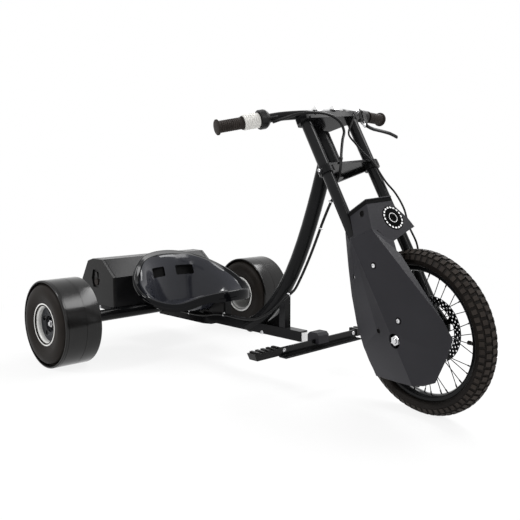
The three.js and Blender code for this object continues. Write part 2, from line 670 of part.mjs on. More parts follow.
function forkLeg() {
  const tube = rodBetween(V(legs.x, legs.y, legs.bottom), V(legs.x, legs.y, legs.top), legs.radius, tubeFacets);
  const half = legs.dropoutThickness / 2;
  const dropout = slab([
    [legs.x - legs.radius, legs.bottom + legs.dropoutRadius * 2], [legs.x - legs.radius, legs.bottom],
    [axleLead - legs.dropoutRadius / 2, -legs.dropoutRadius], [axleLead + legs.dropoutRadius / 2, -legs.dropoutRadius],
    [axleLead + legs.dropoutRadius, 0], [legs.x + legs.radius, legs.bottom + legs.dropoutRadius * 2],
  ], legs.y - half, legs.y + half);
  const axleHole = rodBetween(V(axleLead, 0, 0), V(axleLead, legs.y * 2, 0), frontAxleSize.radius + seatGap);
  return cut(join(tube, dropout), axleHole);
}

// Crown outline seen from above: a plate from the steerer out to both legs, round at each leg
function crownOutline(backX, collar, inset = 0) {
  const reach = legs.radius + collar - inset;
  const outline = [];
  const corner = (y, from, to) => {
    const steps = 5;
    for (let i = 0; i <= steps; i += 1) {
      const angle = radians(from + ((to - from) * i) / steps);
      outline.push([legs.x + reach * Math.cos(angle), y + reach * Math.sin(angle)]);
    }
  };
  const [ahead, behind] = [-10, 190];
  corner(legs.y, ahead, behind);
  outline.push([backX + inset, steererRadius - inset], [backX + inset, -steererRadius + inset]);
  corner(-legs.y, -behind, -ahead);
  return outline;
}

function legRod(sign, low, high, radius, facets, make = rodBetween) {
  return make(V(legs.x, sign * legs.y, low), V(legs.x, sign * legs.y, high), radius, facets);
}

function legBores(low, high) {
  return [-1, 1].map((sign) => legRod(sign, low - overrun, high + overrun, legs.radius + seatGap, tubeFacets, bore));
}

function lowerCrownBody() {
  const { low, high, collarLow, collar, backX, rib, ribLow } = lowerCrown;
  const top = plate(crownOutline(backX, collar), low, high);
  const ribOutside = plate(crownOutline(backX, collar), ribLow, low);
  const ribInside = plate(crownOutline(backX, collar, rib), ribLow - overrun, low);
  const openFront = block(V(legs.x, -legs.y, ribLow - overrun), V(legs.x * 2, legs.y, low));
  const collars = [-1, 1].map((sign) => legRod(sign, collarLow, high, legs.radius + collar, tubeFacets + 2));
  const steerer = rodBetween(V(0, 0, ribLow), V(0, 0, lowerCrown.steererTop), steererRadius, tubeFacets + 2);
  return cut(join(top, cut(ribOutside, ribInside, openFront), steerer, ...collars), ...legBores(collarLow, high));
}

// The upper crown carries the lower halves of the bar clamps on its top
function upperCrownBody() {
  const { low, high, collar, backX } = upperCrown;
  const top = plate(crownOutline(backX, collar), low, high);
  const seats = [-1, 1].map((sign) => block(
    V(bar.centreX - barClamp.halfLength, sign * barClamp.y - barClamp.halfWidth, low),
    V(bar.centreX + barClamp.halfLength, sign * barClamp.y + barClamp.halfWidth, bar.centreZ - seatGap)));
  const channel = bore(V(bar.centreX, -barClamp.y * 2, bar.centreZ), V(bar.centreX, barClamp.y * 2, bar.centreZ),
    bar.radius + seatGap);
  const steererHole = bore(V(0, 0, low - overrun), V(0, 0, high + overrun), steererRadius + seatGap, tubeFacets);
  return cut(join(top, ...seats), channel, steererHole, ...legBores(low, high));
}

// Handlebar: straight in the clamps, then swept back and up to the grips
const bar = { radius: 11, centreX: 45, overCrown: 11.5, straightHalf: 50, gripX: -27, gripRise: 20, half: 270,
  sweep: radians(13), gripLength: 150, centrePull: 22, gripPull: 30 };
bar.centreZ = upperCrown.high + bar.overCrown;
bar.gripZ = bar.centreZ + bar.gripRise;
const barClamp = { y: 28.5, halfWidth: 7, halfLength: 18, rise: 15, boltRadius: 3.5, boltHeight: 5, boltOut: 14 };
barClamp.high = bar.centreZ + barClamp.rise;

function gripPoint(distance, sign) {
  const inward = V(Math.sin(bar.sweep), -Math.cos(bar.sweep), 0);
  const place = V(bar.gripX, bar.half, bar.gripZ).addScaledVector(inward, distance);
  return V(place.x, sign * place.y, place.z);
}

function handlebarPath() {
  const outward = V(-Math.sin(bar.sweep), Math.cos(bar.sweep), 0);
  const side = (sign) => {
    const flip = (p) => V(p.x, sign * p.y, p.z);
    const centre = V(bar.centreX, bar.straightHalf, bar.centreZ);
    const inner = gripPoint(bar.gripLength, 1);
    const bend = [centre, centre.clone().add(V(0, bar.centrePull, 0)), inner.clone().addScaledVector(outward,
      -bar.gripPull), inner].map(flip);
    return { bend, end: flip(gripPoint(sign > 0 ? grip.leftSetIn : 0, 1)) };
  };
  const [left, right] = [side(1), side(-1)];
  const path = new THREE.CurvePath();
  path.add(new THREE.LineCurve3(left.end, left.bend[3]));
  path.add(new THREE.CubicBezierCurve3(...left.bend.slice().reverse()));
  path.add(new THREE.LineCurve3(left.bend[0], right.bend[0]));
  path.add(new THREE.CubicBezierCurve3(...right.bend));
  path.add(new THREE.LineCurve3(right.bend[3], right.end));
  return path;
}

const grip = { radius: 14.5, endRadius: 19, endWidth: 5, length: 64, ribs: 4, ribDepth: 1.4, leftSetIn: 5 };
const throttle = { sleeveRadius: 18.5, sleeveLength: 42, housingRadius: 24, housingLength: 25, ribs: 4, ribDepth: 1,
  noseShare: 0.72, coneShare: 0.35 };
const lever = { collarRadius: 16.8, collarLength: 28, collarIn: 104, bladeWidth: 11, bladeThickness: 7, pivotIn: 108,
  pivotOut: 12, pivotDrop: 37, pivotRadius: 6, gap: 0.5 };
// The blade's way from its pivot out to the ball end
const leverRoute = [[-1.8, 17.2, -10], [-0.8, 37.2, -17], [0.7, 57.2, -24], [1.7, 74.2, -31], [-2.3, 99.2, -41]];

// Frame whose Y runs outward along a grip, standing at a distance in from its end
function gripFrame(sign, distance) {
  const outward = gripPoint(0, sign).sub(gripPoint(bar.gripLength, sign)).normalize();
  const up = V(0, 0, 1);
  const along = outward.clone().cross(up).normalize();
  const matrix = new THREE.Matrix4().makeBasis(along, outward, up);
  matrix.setPosition(gripPoint(distance, sign));
  return matrix;
}

function placed(body, matrix) {
  return body.transform(matrix.elements);
}

// A round sleeve along Y with a bore for the bar, waved along its length
function ribbedSleeve(radius, length, ribs, depth, facets) {
  const outer = [];
  const step = length / ribs;
  for (let i = 0; i < ribs; i += 1) outer.push([radius, i * step], [radius - depth, (i + 1 / 2) * step]);
  const inner = bar.radius + seatGap * 2;
  return turned([[inner, 0], ...outer, [radius, length], [inner, length]], facets);
}

function gripBody(length) {
  const body = ribbedSleeve(grip.radius, length, grip.ribs, grip.ribDepth, smallFacets);
  const inner = bar.radius + seatGap * 2;
  const face = length + grip.endWidth;
  const end = turned([
    [inner, length], [grip.radius, length], [grip.endRadius, length + seatGap], [grip.endRadius, face - seatGap],
    [grip.radius, face], [0, face], [0, face - grip.endWidth / 2], [inner, face - grip.endWidth / 2],
  ], smallFacets);
  return join(body, end);
}

function buildHandlebar(fork) {
  const steps = 26;
  add(fork, 'handlebar', tubeAlong(handlebarPath(), bar.radius, smallFacets, steps), blackPaint());
  for (const [side, sign] of [['right', -1], ['left', 1]]) {
    const y = sign * barClamp.y;
    const cap = block(V(bar.centreX - barClamp.halfLength, y - barClamp.halfWidth, bar.centreZ + seatGap),
      V(bar.centreX + barClamp.halfLength, y + barClamp.halfWidth, barClamp.high));
    const channel = bore(V(bar.centreX, y - legs.y, bar.centreZ), V(bar.centreX, y + legs.y, bar.centreZ),
      bar.radius + seatGap);
    const bolts = [-1, 1].map((end) => rodBetween(V(bar.centreX + end * barClamp.boltOut, y, barClamp.high - seatGap),
      V(bar.centreX + end * barClamp.boltOut, y, barClamp.high + barClamp.boltHeight), barClamp.boltRadius, cordFacets));
    add(fork, `bar_clamp_${side}`, cut(join(cap, ...bolts), channel), bareAluminium());
  }
  const endGap = seatGap * 2;
  const onEnd = grip.endWidth / 2 - endGap;
  const rightStart = grip.length - onEnd;
  add(fork, 'grip_right', placed(gripBody(grip.length), gripFrame(-1, rightStart)), gripRubber());
  add(fork, 'grip_left', placed(gripBody(grip.length), gripFrame(1, rightStart + grip.leftSetIn)), gripRubber());
  const sleeveStart = rightStart + lever.gap + throttle.sleeveLength;
  const sleeveBody = ribbedSleeve(throttle.sleeveRadius, throttle.sleeveLength, throttle.ribs, throttle.ribDepth,
    smallFacets);
  add(fork, 'throttle_sleeve', placed(sleeveBody, gripFrame(-1, sleeveStart)), paleSleeve());
  const housingStart = sleeveStart + lever.gap + throttle.housingLength;
  add(fork, 'throttle_housing', placed(throttleHousing(), gripFrame(-1, housingStart)), blackPlastic());
  add(fork, 'brake_lever_bracket', leverBracket(), blackPlastic());
  add(fork, 'brake_lever', leverBlade(), blackPaint());
}

function throttleHousing() {
  const length = throttle.housingLength;
  const radius = throttle.housingRadius;
  const inner = bar.radius + seatGap * 2;
  return turned([
    [inner, 0], [radius * throttle.noseShare, 0], [radius, length * throttle.coneShare], [radius, length],
    [inner, length],
  ], tubeFacets);
}

// The lever's pivot stands ahead of and below the bar, just inboard of its collar
function leverPivot() {
  return gripPoint(lever.pivotIn, 1).add(V(lever.pivotOut, 0, -lever.pivotDrop));
}

function leverBracket() {
  const length = lever.collarLength;
  const collar = placed(turned([
    [bar.radius, 0], [lever.collarRadius, 0], [lever.collarRadius, length], [bar.radius, length],
  ], tubeFacets), gripFrame(1, lever.collarIn));
  const pivot = leverPivot();
  const reach = lever.pivotRadius;
  const half = lever.bladeThickness / 2 + lever.gap;
  const outer = gripPoint(lever.collarIn - length / 2, 1);
  const inner = gripPoint(lever.collarIn, 1);
  const arm = hull([outer, inner].flatMap((axis) => [
    V(axis.x - reach, axis.y, axis.z - bar.radius),
    V(axis.x + lever.collarRadius - seatGap, axis.y, axis.z),
  ]).concat([-1, 1].flatMap((side) => [
    V(pivot.x + reach, pivot.y + side * reach, pivot.z + half + reach / 2),
    V(pivot.x + reach, pivot.y + side * reach, pivot.z + half),
    V(pivot.x - reach, pivot.y + side * reach, pivot.z + half),
  ])));
  const pin = rodBetween(pivot.clone().add(V(0, 0, -half)), pivot.clone().add(V(0, 0, half + reach / 4)), reach / 2);
  const barRoom = bore(gripPoint(lever.collarIn + length, 1), gripPoint(0, 1), bar.radius + seatGap * 2);
  return cut(join(collar, arm, pin), barRoom);
}

function leverBlade() {
  const pivot = leverPivot();
  const half = lever.bladeThickness / 2;
  const clear = lever.bladeThickness / 2 + lever.gap;
  const hole = bore(pivot.clone().add(V(0, 0, -bar.radius)), pivot.clone().add(V(0, 0, bar.radius)),
    lever.pivotRadius / 2 + lever.gap);
  const above = rodBetween(pivot.clone().add(V(0, 0, clear - seatGap)), pivot.clone().add(V(0, 0, bar.radius)),
    lever.pivotRadius * 2);
  const eye = rodBetween(pivot.clone().add(V(0, 0, -half)), pivot.clone().add(V(0, 0, half)),
    lever.pivotRadius + lever.gap);
  const path = new THREE.CatmullRomCurve3([pivot, ...leverRoute.map((step) => pivot.clone().add(V(...step)))]);
  const section = new THREE.Shape(circleShape(1, cordFacets).getPoints()
    .map((p) => new THREE.Vector2((p.x * lever.bladeThickness) / 2, (p.y * lever.bladeWidth) / 2)));
  const blade = solid(new THREE.ExtrudeGeometry(section, { extrudePath: path, steps: 8, bevelEnabled: false }));
  return cut(join(eye, blade), hole, above);
}

// Front wheel, round the Y axis of its axle

const frontAxleSize = { radius: 6, endRight: 96, endLeft: 84, headRadius: 11.5, headHeight: 7, nutHeight: 15 };
const frontTyre = { halfWidth: 25, wall: 4, blocks: 20, blockHeight: 2.8, beadRadius: 150.5, beadHalf: 11.5,
  beadWidth: 6, hollowHalf: 15, grooveShare: 0.34, treadReach: radians(80) };
const frontRim = { inner: 142.3, seatRadius: 150, lipRadius: 156, half: 15, wall: 3, well: 6 };
const hub = { flangeRadius: 27, flangeThickness: 3.5, flangeY: 21, shellRadius: 16.5, half: 29, bearingRadius: 13,
  bearingWidth: 8 };
const spoke = { count: 36, radius: 1, rootSpread: 0.6, tipMiddle: 3, tipSpread: 2.6, crossAngle: radians(20) };
const rotor = { radius: 78.6, inner: 62, y: 35, thickness: 2, rows: 2, holes: 12, holeRadius: 3, arms: 5, armWidth: 9 };

// Tread: rounded carcass with staggered blocks standing out of it
function frontTyreBody() {
  const bandShares = [-1, -0.62, -0.2, 0.2, 0.62, 1];
  const sectionCentre = frontWheelRadius - frontTyre.halfWidth;
  const crown = frontWheelRadius - frontTyre.blockHeight;
  const pointAt = (share, raised) => {
    const angle = share * frontTyre.treadReach;
    const lift = raised ? frontTyre.blockHeight : 0;
    const spread = crown - sectionCentre + lift;
    return [sectionCentre + spread * Math.cos(angle), (frontTyre.halfWidth + lift / 2) * Math.sin(angle)];
  };
  const overLip = frontRim.lipRadius + seatGap;
  const { beadRadius, beadHalf, hollowHalf } = frontTyre;
  const beadInner = beadHalf - frontTyre.beadWidth;
  const half = [[overLip, beadHalf], [beadRadius, beadHalf], [beadRadius, beadInner], [sectionCentre, hollowHalf]];
  const other = half.map(([radius, along]) => [radius, -along]).reverse();
  const inside = [...half, [crown - 2 * frontTyre.wall, 0], ...other];
  const sections = [];
  const pitch = (2 * Math.PI) / frontTyre.blocks;
  const groove = (pitch * frontTyre.grooveShare) / 2;
  for (let i = 0; i < frontTyre.blocks; i += 1) {
    for (const [from, phase] of [[0, 0], [pitch / 2 - groove, 0], [pitch / 2, 1], [pitch - groove, 1]]) {
      const ring = bandShares.map((share, band) => pointAt(share, (Math.floor(band / 2) + phase) % 2 === 0));
      sections.push({ angle: i * pitch + from, ring: [...ring, ...inside] });
    }
  }
  return sweptRing(sections);
}

// Closed ring through sections of equal point count set round the Y axis
function sweptRing(sections) {
  const count = sections[0].ring.length;
  const points = [];
  const faces = [];
  for (const { angle, ring } of sections) {
    for (const [radius, y] of ring) points.push(radius * Math.cos(angle), y, radius * Math.sin(angle));
  }
  const at = (i, j) => ((i + sections.length) % sections.length) * count + ((j + count) % count);
  for (let i = 0; i < sections.length; i += 1) {
    for (let j = 0; j < count; j += 1) {
      faces.push(at(i, j), at(i, j + 1), at(i + 1, j + 1), at(i, j), at(i + 1, j + 1), at(i + 1, j));
    }
  }
  const geometry = new THREE.BufferGeometry();
  geometry.setAttribute('position', new THREE.BufferAttribute(new Float32Array(points), 3));
  geometry.setIndex(faces);
  return solid(geometry);
}

function frontRimBody() {
  const half = [
    [frontRim.inner + frontRim.wall, frontRim.well],
    [frontRim.seatRadius - frontRim.wall, frontRim.half],
    [frontRim.lipRadius, frontRim.half],
    [frontRim.lipRadius, frontRim.half - frontRim.wall],
    [frontRim.seatRadius, frontRim.half - frontRim.wall],
  ];
  const other = half.map(([radius, along]) => [radius, -along]).reverse();
  return turned([[frontRim.inner, 0], ...half, ...other], wheelFacets + cordFacets);
}

// Spokes leave the middles of the flange's facets, each flange in its own holes, and cross once
function frontHubBody() {
  const perSide = spoke.count / 2;
  const flanges = [-1, 1].map((sign) => rodBetween(
    V(0, sign * hub.flangeY - hub.flangeThickness / 2, 0), V(0, sign * hub.flangeY + hub.flangeThickness / 2, 0),
    hub.flangeRadius, perSide, Math.PI / perSide));
  const shell = rodBetween(V(0, -hub.half, 0), V(0, hub.half, 0), hub.shellRadius, smallFacets);
  const root = hub.flangeRadius - hub.flangeThickness;
  const tip = frontRim.inner - seatGap * 4;
  const spokes = [];
  for (let i = 0; i < spoke.count; i += 1) {
    const side = i % 2 === 0 ? 1 : -1;
    const lean = i % 4 < 2 ? 1 : -1;
    const rimAngle = (2 * Math.PI * (i - (side < 0 ? 1 : 0))) / spoke.count + (side < 0 ? Math.PI / perSide : 0);
    const hubAngle = rimAngle + lean * spoke.crossAngle;
    const rootY = side * (hub.flangeY + lean * spoke.rootSpread);
    const tipY = side * (spoke.tipMiddle + lean * spoke.tipSpread);
    spokes.push(rodBetween(V(root * Math.cos(hubAngle), rootY, root * Math.sin(hubAngle)),
      V(tip * Math.cos(rimAngle), tipY, tip * Math.sin(rimAngle)), spoke.radius, 4));
  }
  const throughHub = bore(V(0, -hub.half - overrun, 0), V(0, hub.half + overrun, 0), hub.bearingRadius, smallFacets);
  return cut(join(shell, ...flanges, ...spokes), throughHub);
}

function rotorBody() {
  const ringHoles = [];
  const spreadOf = (row) => rotor.inner + ((row + 1) * (rotor.radius - rotor.inner)) / (rotor.rows + 1);
  for (let row = 0; row < rotor.rows; row += 1) {
    for (let i = 0; i < rotor.holes; i += 1) {
      const angle = (2 * Math.PI * (i + row / 2)) / rotor.holes;
      const radius = spreadOf(row);
      const hole = circleShape(rotor.holeRadius, 4, angle).getPoints();
      ringHoles.push(new THREE.Path(hole.map((p) => new THREE.Vector2(
        p.x + radius * Math.cos(angle), p.y + radius * Math.sin(angle)))));
    }
  }
  const low = rotor.y - rotor.thickness / 2;
  const high = rotor.y + rotor.thickness / 2;
  const rim = new THREE.Path(circleShape(rotor.inner, wheelFacets).getPoints());
  const band = slab(circleShape(rotor.radius, wheelFacets), low, high, [...ringHoles, rim]);
  const arms = [];
  for (let i = 0; i < rotor.arms; i += 1) {
    const angle = (2 * Math.PI * i) / rotor.arms;
    const arm = block(V(0, low, -rotor.armWidth / 2), V(rotor.inner + rotor.armWidth / 4, high, rotor.armWidth / 2));
    arms.push(arm.rotate([0, (angle * 180) / Math.PI, 0]));
  }
  const carrier = slab(circleShape(hub.flangeRadius, tubeFacets), hub.half + seatGap, high);
  const hole = bore(V(0, 0, 0), V(0, rotor.y + hub.half, 0), hub.bearingRadius, tubeFacets);
  return cut(join(band, carrier, ...arms), hole);
}

// Chain drive on the right of the wheel

const chain = { pitch: 8, wheelTeeth: 44, motorTeeth: 9, y: -45, width: 9, innerWidth: 6, height: 7.6, clear: 0.45 };
const motor = { x: 94, z: 271, radius: 29, right: -35, left: 18, bossRadius: 14, shaftRadius: 5, rim: 4 };
const motorPlateSize = { thickness: 3, postRadius: 6, upperPostZ: 294, lowerPostZ: 250, high: 304, low: 238 };
const sprocketThickness = 3;
const collarShare = 0.6;
const toothShares = { gullet: 0.4, tip: 0.26, gulletSide: 0.17, tipSide: 0.5 };

function pitchRadius(teeth) {
  return chain.pitch / (2 * Math.sin(Math.PI / teeth));
}

// Roller chain sprocket: teeth between round gullets, on the pitch circle
function sprocketOutline(teeth) {
  const radius = pitchRadius(teeth);
  const outline = [];
  const low = radius - chain.height * toothShares.gullet;
  const high = radius + chain.height * toothShares.tip;
  for (let i = 0; i < teeth; i += 1) {
    const step = (2 * Math.PI) / teeth;
    for (const [turn, reach] of [[-toothShares.gulletSide, low], [toothShares.gulletSide, low], [toothShares.tipSide, high]]) {
      const angle = (i + turn) * step;
      outline.push([reach * Math.cos(angle), reach * Math.sin(angle)]);
    }
  }
  return outline;
}

function wheelSprocket() {
  const low = chain.y - sprocketThickness / 2;
  const high = chain.y + sprocketThickness / 2;
  const holes = [];
  const holeCount = 5;
  const inner = pitchRadius(chain.wheelTeeth);
  for (let i = 0; i < holeCount; i += 1) {
    const angle = (2 * Math.PI * i) / holeCount;
    const middle = (inner + hub.flangeRadius) / 2;
    const hole = circleShape(chain.width, 6).getPoints();
    holes.push(new THREE.Path(hole.map((p) => new THREE.Vector2(
      p.x + middle * Math.cos(angle), p.y + middle * Math.sin(angle)))));
  }
  const disc = slab(sprocketOutline(chain.wheelTeeth), low, high, holes);
  const adapter = rodBetween(V(0, low, 0), V(0, -hub.half - seatGap, 0), hub.flangeRadius - sprocketThickness, tubeFacets);
  return cut(join(disc, adapter), bore(V(0, low - overrun, 0), V(0, 0, 0), hub.bearingRadius, tubeFacets));
}

function motorSprocket() {
  const low = chain.y - sprocketThickness / 2;
  const high = chain.y + sprocketThickness / 2;
  const disc = slab(sprocketOutline(chain.motorTeeth), low, high, []);
  const collarRadius = motor.shaftRadius + sprocketThickness * collarShare;
  const collar = rodBetween(V(0, low - sprocketThickness, 0), V(0, high + sprocketThickness / 2, 0), collarRadius);
  return cut(join(disc, collar), bore(V(0, low - overrun * 2, 0), V(0, 0, 0), motor.shaftRadius + seatGap, cordFacets));
}

// The chain runs on the outer tangents of the two pitch circles, from the wheel at the origin of
// the drive to the motor, and its links are alternately wide and narrow
function chainLoop() {
  const wheelR = pitchRadius(chain.wheelTeeth);
  const motorR = pitchRadius(chain.motorTeeth);
  const centre = new THREE.Vector2(motor.x - axleLead, motor.z);
  const distance = centre.length();
  const towards = Math.atan2(centre.y, centre.x);
  const lean = Math.acos((wheelR - motorR) / distance);
  const straight = Math.sqrt(distance ** 2 - (wheelR - motorR) ** 2);
  const wrapWheel = (2 * Math.PI - 2 * lean) * wheelR;
  const wrapMotor = 2 * lean * motorR;
  const total = wrapWheel + wrapMotor + 2 * straight;
  const links = 2 * Math.round(total / chain.pitch / 2);
  const start = towards + lean;
  const place = (distanceAlong) => {
    let s = distanceAlong;
    if (s < wrapWheel) {
      const angle = start + s / wheelR;
      return { x: wheelR * Math.cos(angle), z: wheelR * Math.sin(angle), angle };
    }
    s -= wrapWheel;
    const lowAngle = towards - lean;
    if (s < straight) {
      const base = [wheelR * Math.cos(lowAngle), wheelR * Math.sin(lowAngle)];
      const end = [centre.x + motorR * Math.cos(lowAngle), centre.y + motorR * Math.sin(lowAngle)];
      const share = s / straight;
      return { x: base[0] + (end[0] - base[0]) * share, z: base[1] + (end[1] - base[1]) * share, angle: lowAngle };
    }
    s -= straight;
    if (s < wrapMotor) {
      const angle = lowAngle + s / motorR;
      return { x: centre.x + motorR * Math.cos(angle), z: centre.y + motorR * Math.sin(angle), angle };
    }
    s -= wrapMotor;
    const share = s / straight;
    const base = [centre.x + motorR * Math.cos(start), centre.y + motorR * Math.sin(start)];
    const end = [wheelR * Math.cos(start), wheelR * Math.sin(start)];
    return { x: base[0] + (end[0] - base[0]) * share, z: base[1] + (end[1] - base[1]) * share, angle: start };
  };
  return { place, total, links };
}

// Wide and narrow links by turns; the teeth stand between their plates, so the loop is open along the
// middle of its inner side where it wraps a sprocket
function driveChain() {
  const { place, total, links } = chainLoop();
  const points = [];
  const faces = [];
  const half = chain.height / 2;
  for (let i = 0; i < links; i += 1) {
    const wide = i % 2 === 0 ? chain.width / 2 : chain.innerWidth / 2;
    const { x, z, angle } = place((i * total) / links);
    for (const [out, side] of [[half, wide], [half, -wide], [-half, -wide], [-half, wide]]) {
      points.push(x + out * Math.cos(angle), chain.y + side, z + out * Math.sin(angle));
    }
  }
  const corners = 4;
  const at = (i, j) => ((i + links) % links) * corners + ((j + corners) % corners);
  for (let i = 0; i < links; i += 1) {
    for (let j = 0; j < corners; j += 1) {
      faces.push(at(i, j), at(i, j + 1), at(i + 1, j + 1), at(i, j), at(i + 1, j + 1), at(i + 1, j));
    }
  }
  const geometry = new THREE.BufferGeometry();
  geometry.setAttribute('position', new THREE.BufferAttribute(new Float32Array(points), 3));
  geometry.setIndex(faces);
  const slotHalf = sprocketThickness / 2 + chain.clear;
  const reach = chain.height * toothShares.tip + chain.clear;
  const rooms = [[0, 0, chain.wheelTeeth], [motor.x - axleLead, motor.z, chain.motorTeeth]].map(([x, z, teeth]) => bore(
    V(x, chain.y - slotHalf, z), V(x, chain.y + slotHalf, z), pitchRadius(teeth) + reach, wheelFacets));
  return cut(solid(geometry), ...rooms);
}

function driveMotor() {
  const { radius, rim, right, left } = motor;
  const can = turned([
    [0, right], [radius - rim, right], [radius, right + rim], [radius, left - rim], [radius - rim, left], [0, left],
  ], tubeFacets + 6);
  const boss = rodBetween(V(0, right - motorPlateSize.thickness, 0), V(0, right + rim, 0), motor.bossRadius);
  const shaft = rodBetween(V(0, chain.y - sprocketThickness * 2, 0), V(0, right + rim, 0), motor.shaftRadius, cordFacets);
  return join(can, boss, shaft);
}

// The motor hangs on a plate that two posts hold off the right leg
function motorPlateBody() {
  const high = motor.right - seatGap;
  const low = high - motorPlateSize.thickness;
  const edge = motor.radius;
  const rear = legs.x - motorPlateSize.postRadius;
  const outline = [
    [rear, motorPlateSize.high], [motor.x + edge / 2, motorPlateSize.high], [motor.x + edge, motor.z + edge / 2],
    [motor.x + edge, motor.z - edge / 2], [motor.x + edge / 2, motorPlateSize.low], [rear, motorPlateSize.low],
  ];
  const plateBody = slab(outline, low, high);
  const shaftHole = bore(V(motor.x, low - overrun, motor.z), V(motor.x, high + overrun, motor.z),
    motor.bossRadius + seatGap);
  const postEnd = -legs.y + legs.radius + seatGap;
  const posts = [motorPlateSize.upperPostZ, motorPlateSize.lowerPostZ].map((z) => rodBetween(
    V(legs.x, postEnd, z), V(legs.x, high, z), motorPlateSize.postRadius));
  return cut(join(plateBody, ...posts), shaftHole);
}

// Moulded cover in the steered frame: a faceted lower shell over the chain run, and above it a box over
// the motor that is open at its back and its left side. Each list reads [ahead, up, left].
const cover = { wall: 3, outY: -95.5, rimY: -61, boxFrontX: 130, boxRearX: 66, nutHoleRadius: 17,
  middleX: 75, middleZ: 60, chainRoomDrop: 100 };
const coverPanel = [[57, 251], [131, 240], [176, 98], [214, -12], [217, -49], [186, -75], [125, -115], [58, -104]];
const coverRearRim = [[14, 284], [-22, 208], [-49, 145], [-70, 80], [-79, 22], [-76, -51], [-25, -79], [41, -111]];
const coverFrontRim = [[130, 180, -49], [154, 167, -68], [170, 118, -84], [188, 64, -90]];
// The box's front face, as [left, up] round it
const coverBoxFace = [[-94.5, 242], [-49, 180], [-45, 205], [19, 225], [38, 230], [29, 253], [1, 291], [3, 312],
  [-76, 312], [-78, 302]];

// An outline moved inward by a distance, side by side
function insetOutline(points, distance) {
  const count = points.length;
  const area = points.reduce((sum, [x, y], i) => {
    const [nx, ny] = points[(i + 1) % count];
    return sum + x * ny - nx * y;
  }, 0);
  const sign = Math.sign(area);
  return points.map((point, i) => {
    const before = points[(i + count - 1) % count];
    const after = points[(i + 1) % count];
    const side = ([ax, ay], [bx, by]) => {
      const length = Math.hypot(bx - ax, by - ay);
      return [(-(by - ay) * sign) / length, ((bx - ax) * sign) / length];
    };
    const [nx, ny] = side(before, point);
    const [mx, my] = side(point, after);
    const spread = distance / (1 + nx * mx + ny * my);
    return [point[0] + (nx + mx) * spread, point[1] + (ny + my) * spread];
  });
}

function coverLowerPoints(inset, shift) {
  const centre = new THREE.Vector2(cover.middleX, cover.middleZ);
  const inner = ([x, z, y]) => {
    const from = new THREE.Vector2(x, z).sub(centre);
    const kept = from.multiplyScalar(1 - inset / from.length()).add(centre);
    return V(kept.x, y + shift, kept.y);
  };
  return [
    ...coverPanel.map(([x, z]) => inner([x, z, cover.outY])),
    ...coverRearRim.map(([x, z]) => inner([x, z, cover.rimY])),
    ...coverFrontRim.map(([x, z, y]) => inner([x, z, y])),
  ];
}

function coverBox(outline, rear, front) {
  const shape = polygonShape(outline);
  const prism = new THREE.ExtrudeGeometry(shape, { depth: front - rear, bevelEnabled: false });
  const turn = new THREE.Matrix4().makeBasis(V(0, 1, 0), V(0, 0, 1), V(1, 0, 0));
  return solid(prism.applyMatrix4(turn).translate(rear, 0, 0));
}

function chainCoverBody() {
  const lower = hull(coverLowerPoints(0, 0));
  const reach = overrun * 4;
  const lowerVoid = hull([...coverLowerPoints(cover.wall, cover.wall), ...coverLowerPoints(cover.wall, reach)]);
  const upper = coverBox(coverBoxFace, cover.boxRearX, cover.boxFrontX);
  const openLeft = insetOutline(coverBoxFace, cover.wall).map(([y, z], i) => {
    const leftSide = i >= 5 && i <= 7;
    return [leftSide ? y + reach : y, z];
  });
  const upperVoid = coverBox(openLeft, cover.boxRearX - overrun, cover.boxFrontX - cover.wall);
  const legRoom = legRod(-1, -frontWheelRadius, legs.top, legs.radius + seatGap, tubeFacets, bore);
  const nutRoom = bore(V(axleLead, cover.outY - overrun, 0), V(axleLead, cover.rimY, 0), cover.nutHoleRadius, tubeFacets);
  const chainHalf = chain.width / 2 + cover.wall;
  const chainRoom = block(V(cover.boxRearX, chain.y - chainHalf, motor.z - cover.chainRoomDrop),
    V(cover.boxFrontX - cover.wall, chain.y + chainHalf, motor.z));
  return cut(join(lower, upper), lowerVoid, upperVoid, legRoom, nutRoom, chainRoom);
}

// Disc brake caliper behind the left leg, with the arm that the cable pulls
const caliper = { angle: radians(118), inner: 56, outer: 96, halfLength: 24, inboard: 25, outboard: 56, slot: 3,
  armLength: 34, armThickness: 4, armWidth: 11, armAngle: radians(40), pivotRadius: 5, gap: 0.5,
  bracketRear: 30, bracketDepth: 8, bracketLow: 41, bracketHigh: 60 };

function buildCaliper(fork) {
  const body = block(V(-caliper.halfLength, caliper.inboard, caliper.inner), V(caliper.halfLength, caliper.outboard,
    caliper.outer));
  const slot = rodBetween(V(0, rotor.y - caliper.slot, 0), V(0, rotor.y + caliper.slot, 0), rotor.radius + caliper.slot,
    wheelFacets);
  const turn = caliper.angle - Math.PI / 2;
  const place = (piece) => piece.rotate([0, (-turn * 180) / Math.PI, 0]).translate([axleLead, 0, 0]);
  const bracket = block(V(caliper.bracketRear, caliper.outboard - caliper.bracketDepth, caliper.bracketLow),
    V(legs.x + legs.radius / 2, legs.y - legs.radius / 2, caliper.bracketHigh));
  const onLeg = cut(bracket, legRod(1, legs.bottom, legs.top, legs.radius + seatGap, tubeFacets, bore));
  add(fork, 'brake_caliper', join(place(cut(body, slot)), onLeg), blackPaint());
  const pivotZ = (caliper.inner + caliper.outer) / 2 + caliper.pivotRadius;
  const armLow = caliper.outboard + caliper.gap;
  const hubOfArm = rodBetween(V(0, armLow, pivotZ), V(0, armLow + caliper.armThickness, pivotZ), caliper.armWidth * 0.8,
    smallFacets);
  const arm = block(V(0, armLow, -caliper.armWidth / 2), V(caliper.armLength, armLow + caliper.armThickness,
    caliper.armWidth / 2)).rotate([0, (-caliper.armAngle * 180) / Math.PI, 0]).translate([0, 0, pivotZ]);
  add(fork, 'caliper_arm', place(join(hubOfArm, arm)), brightSteel());
}

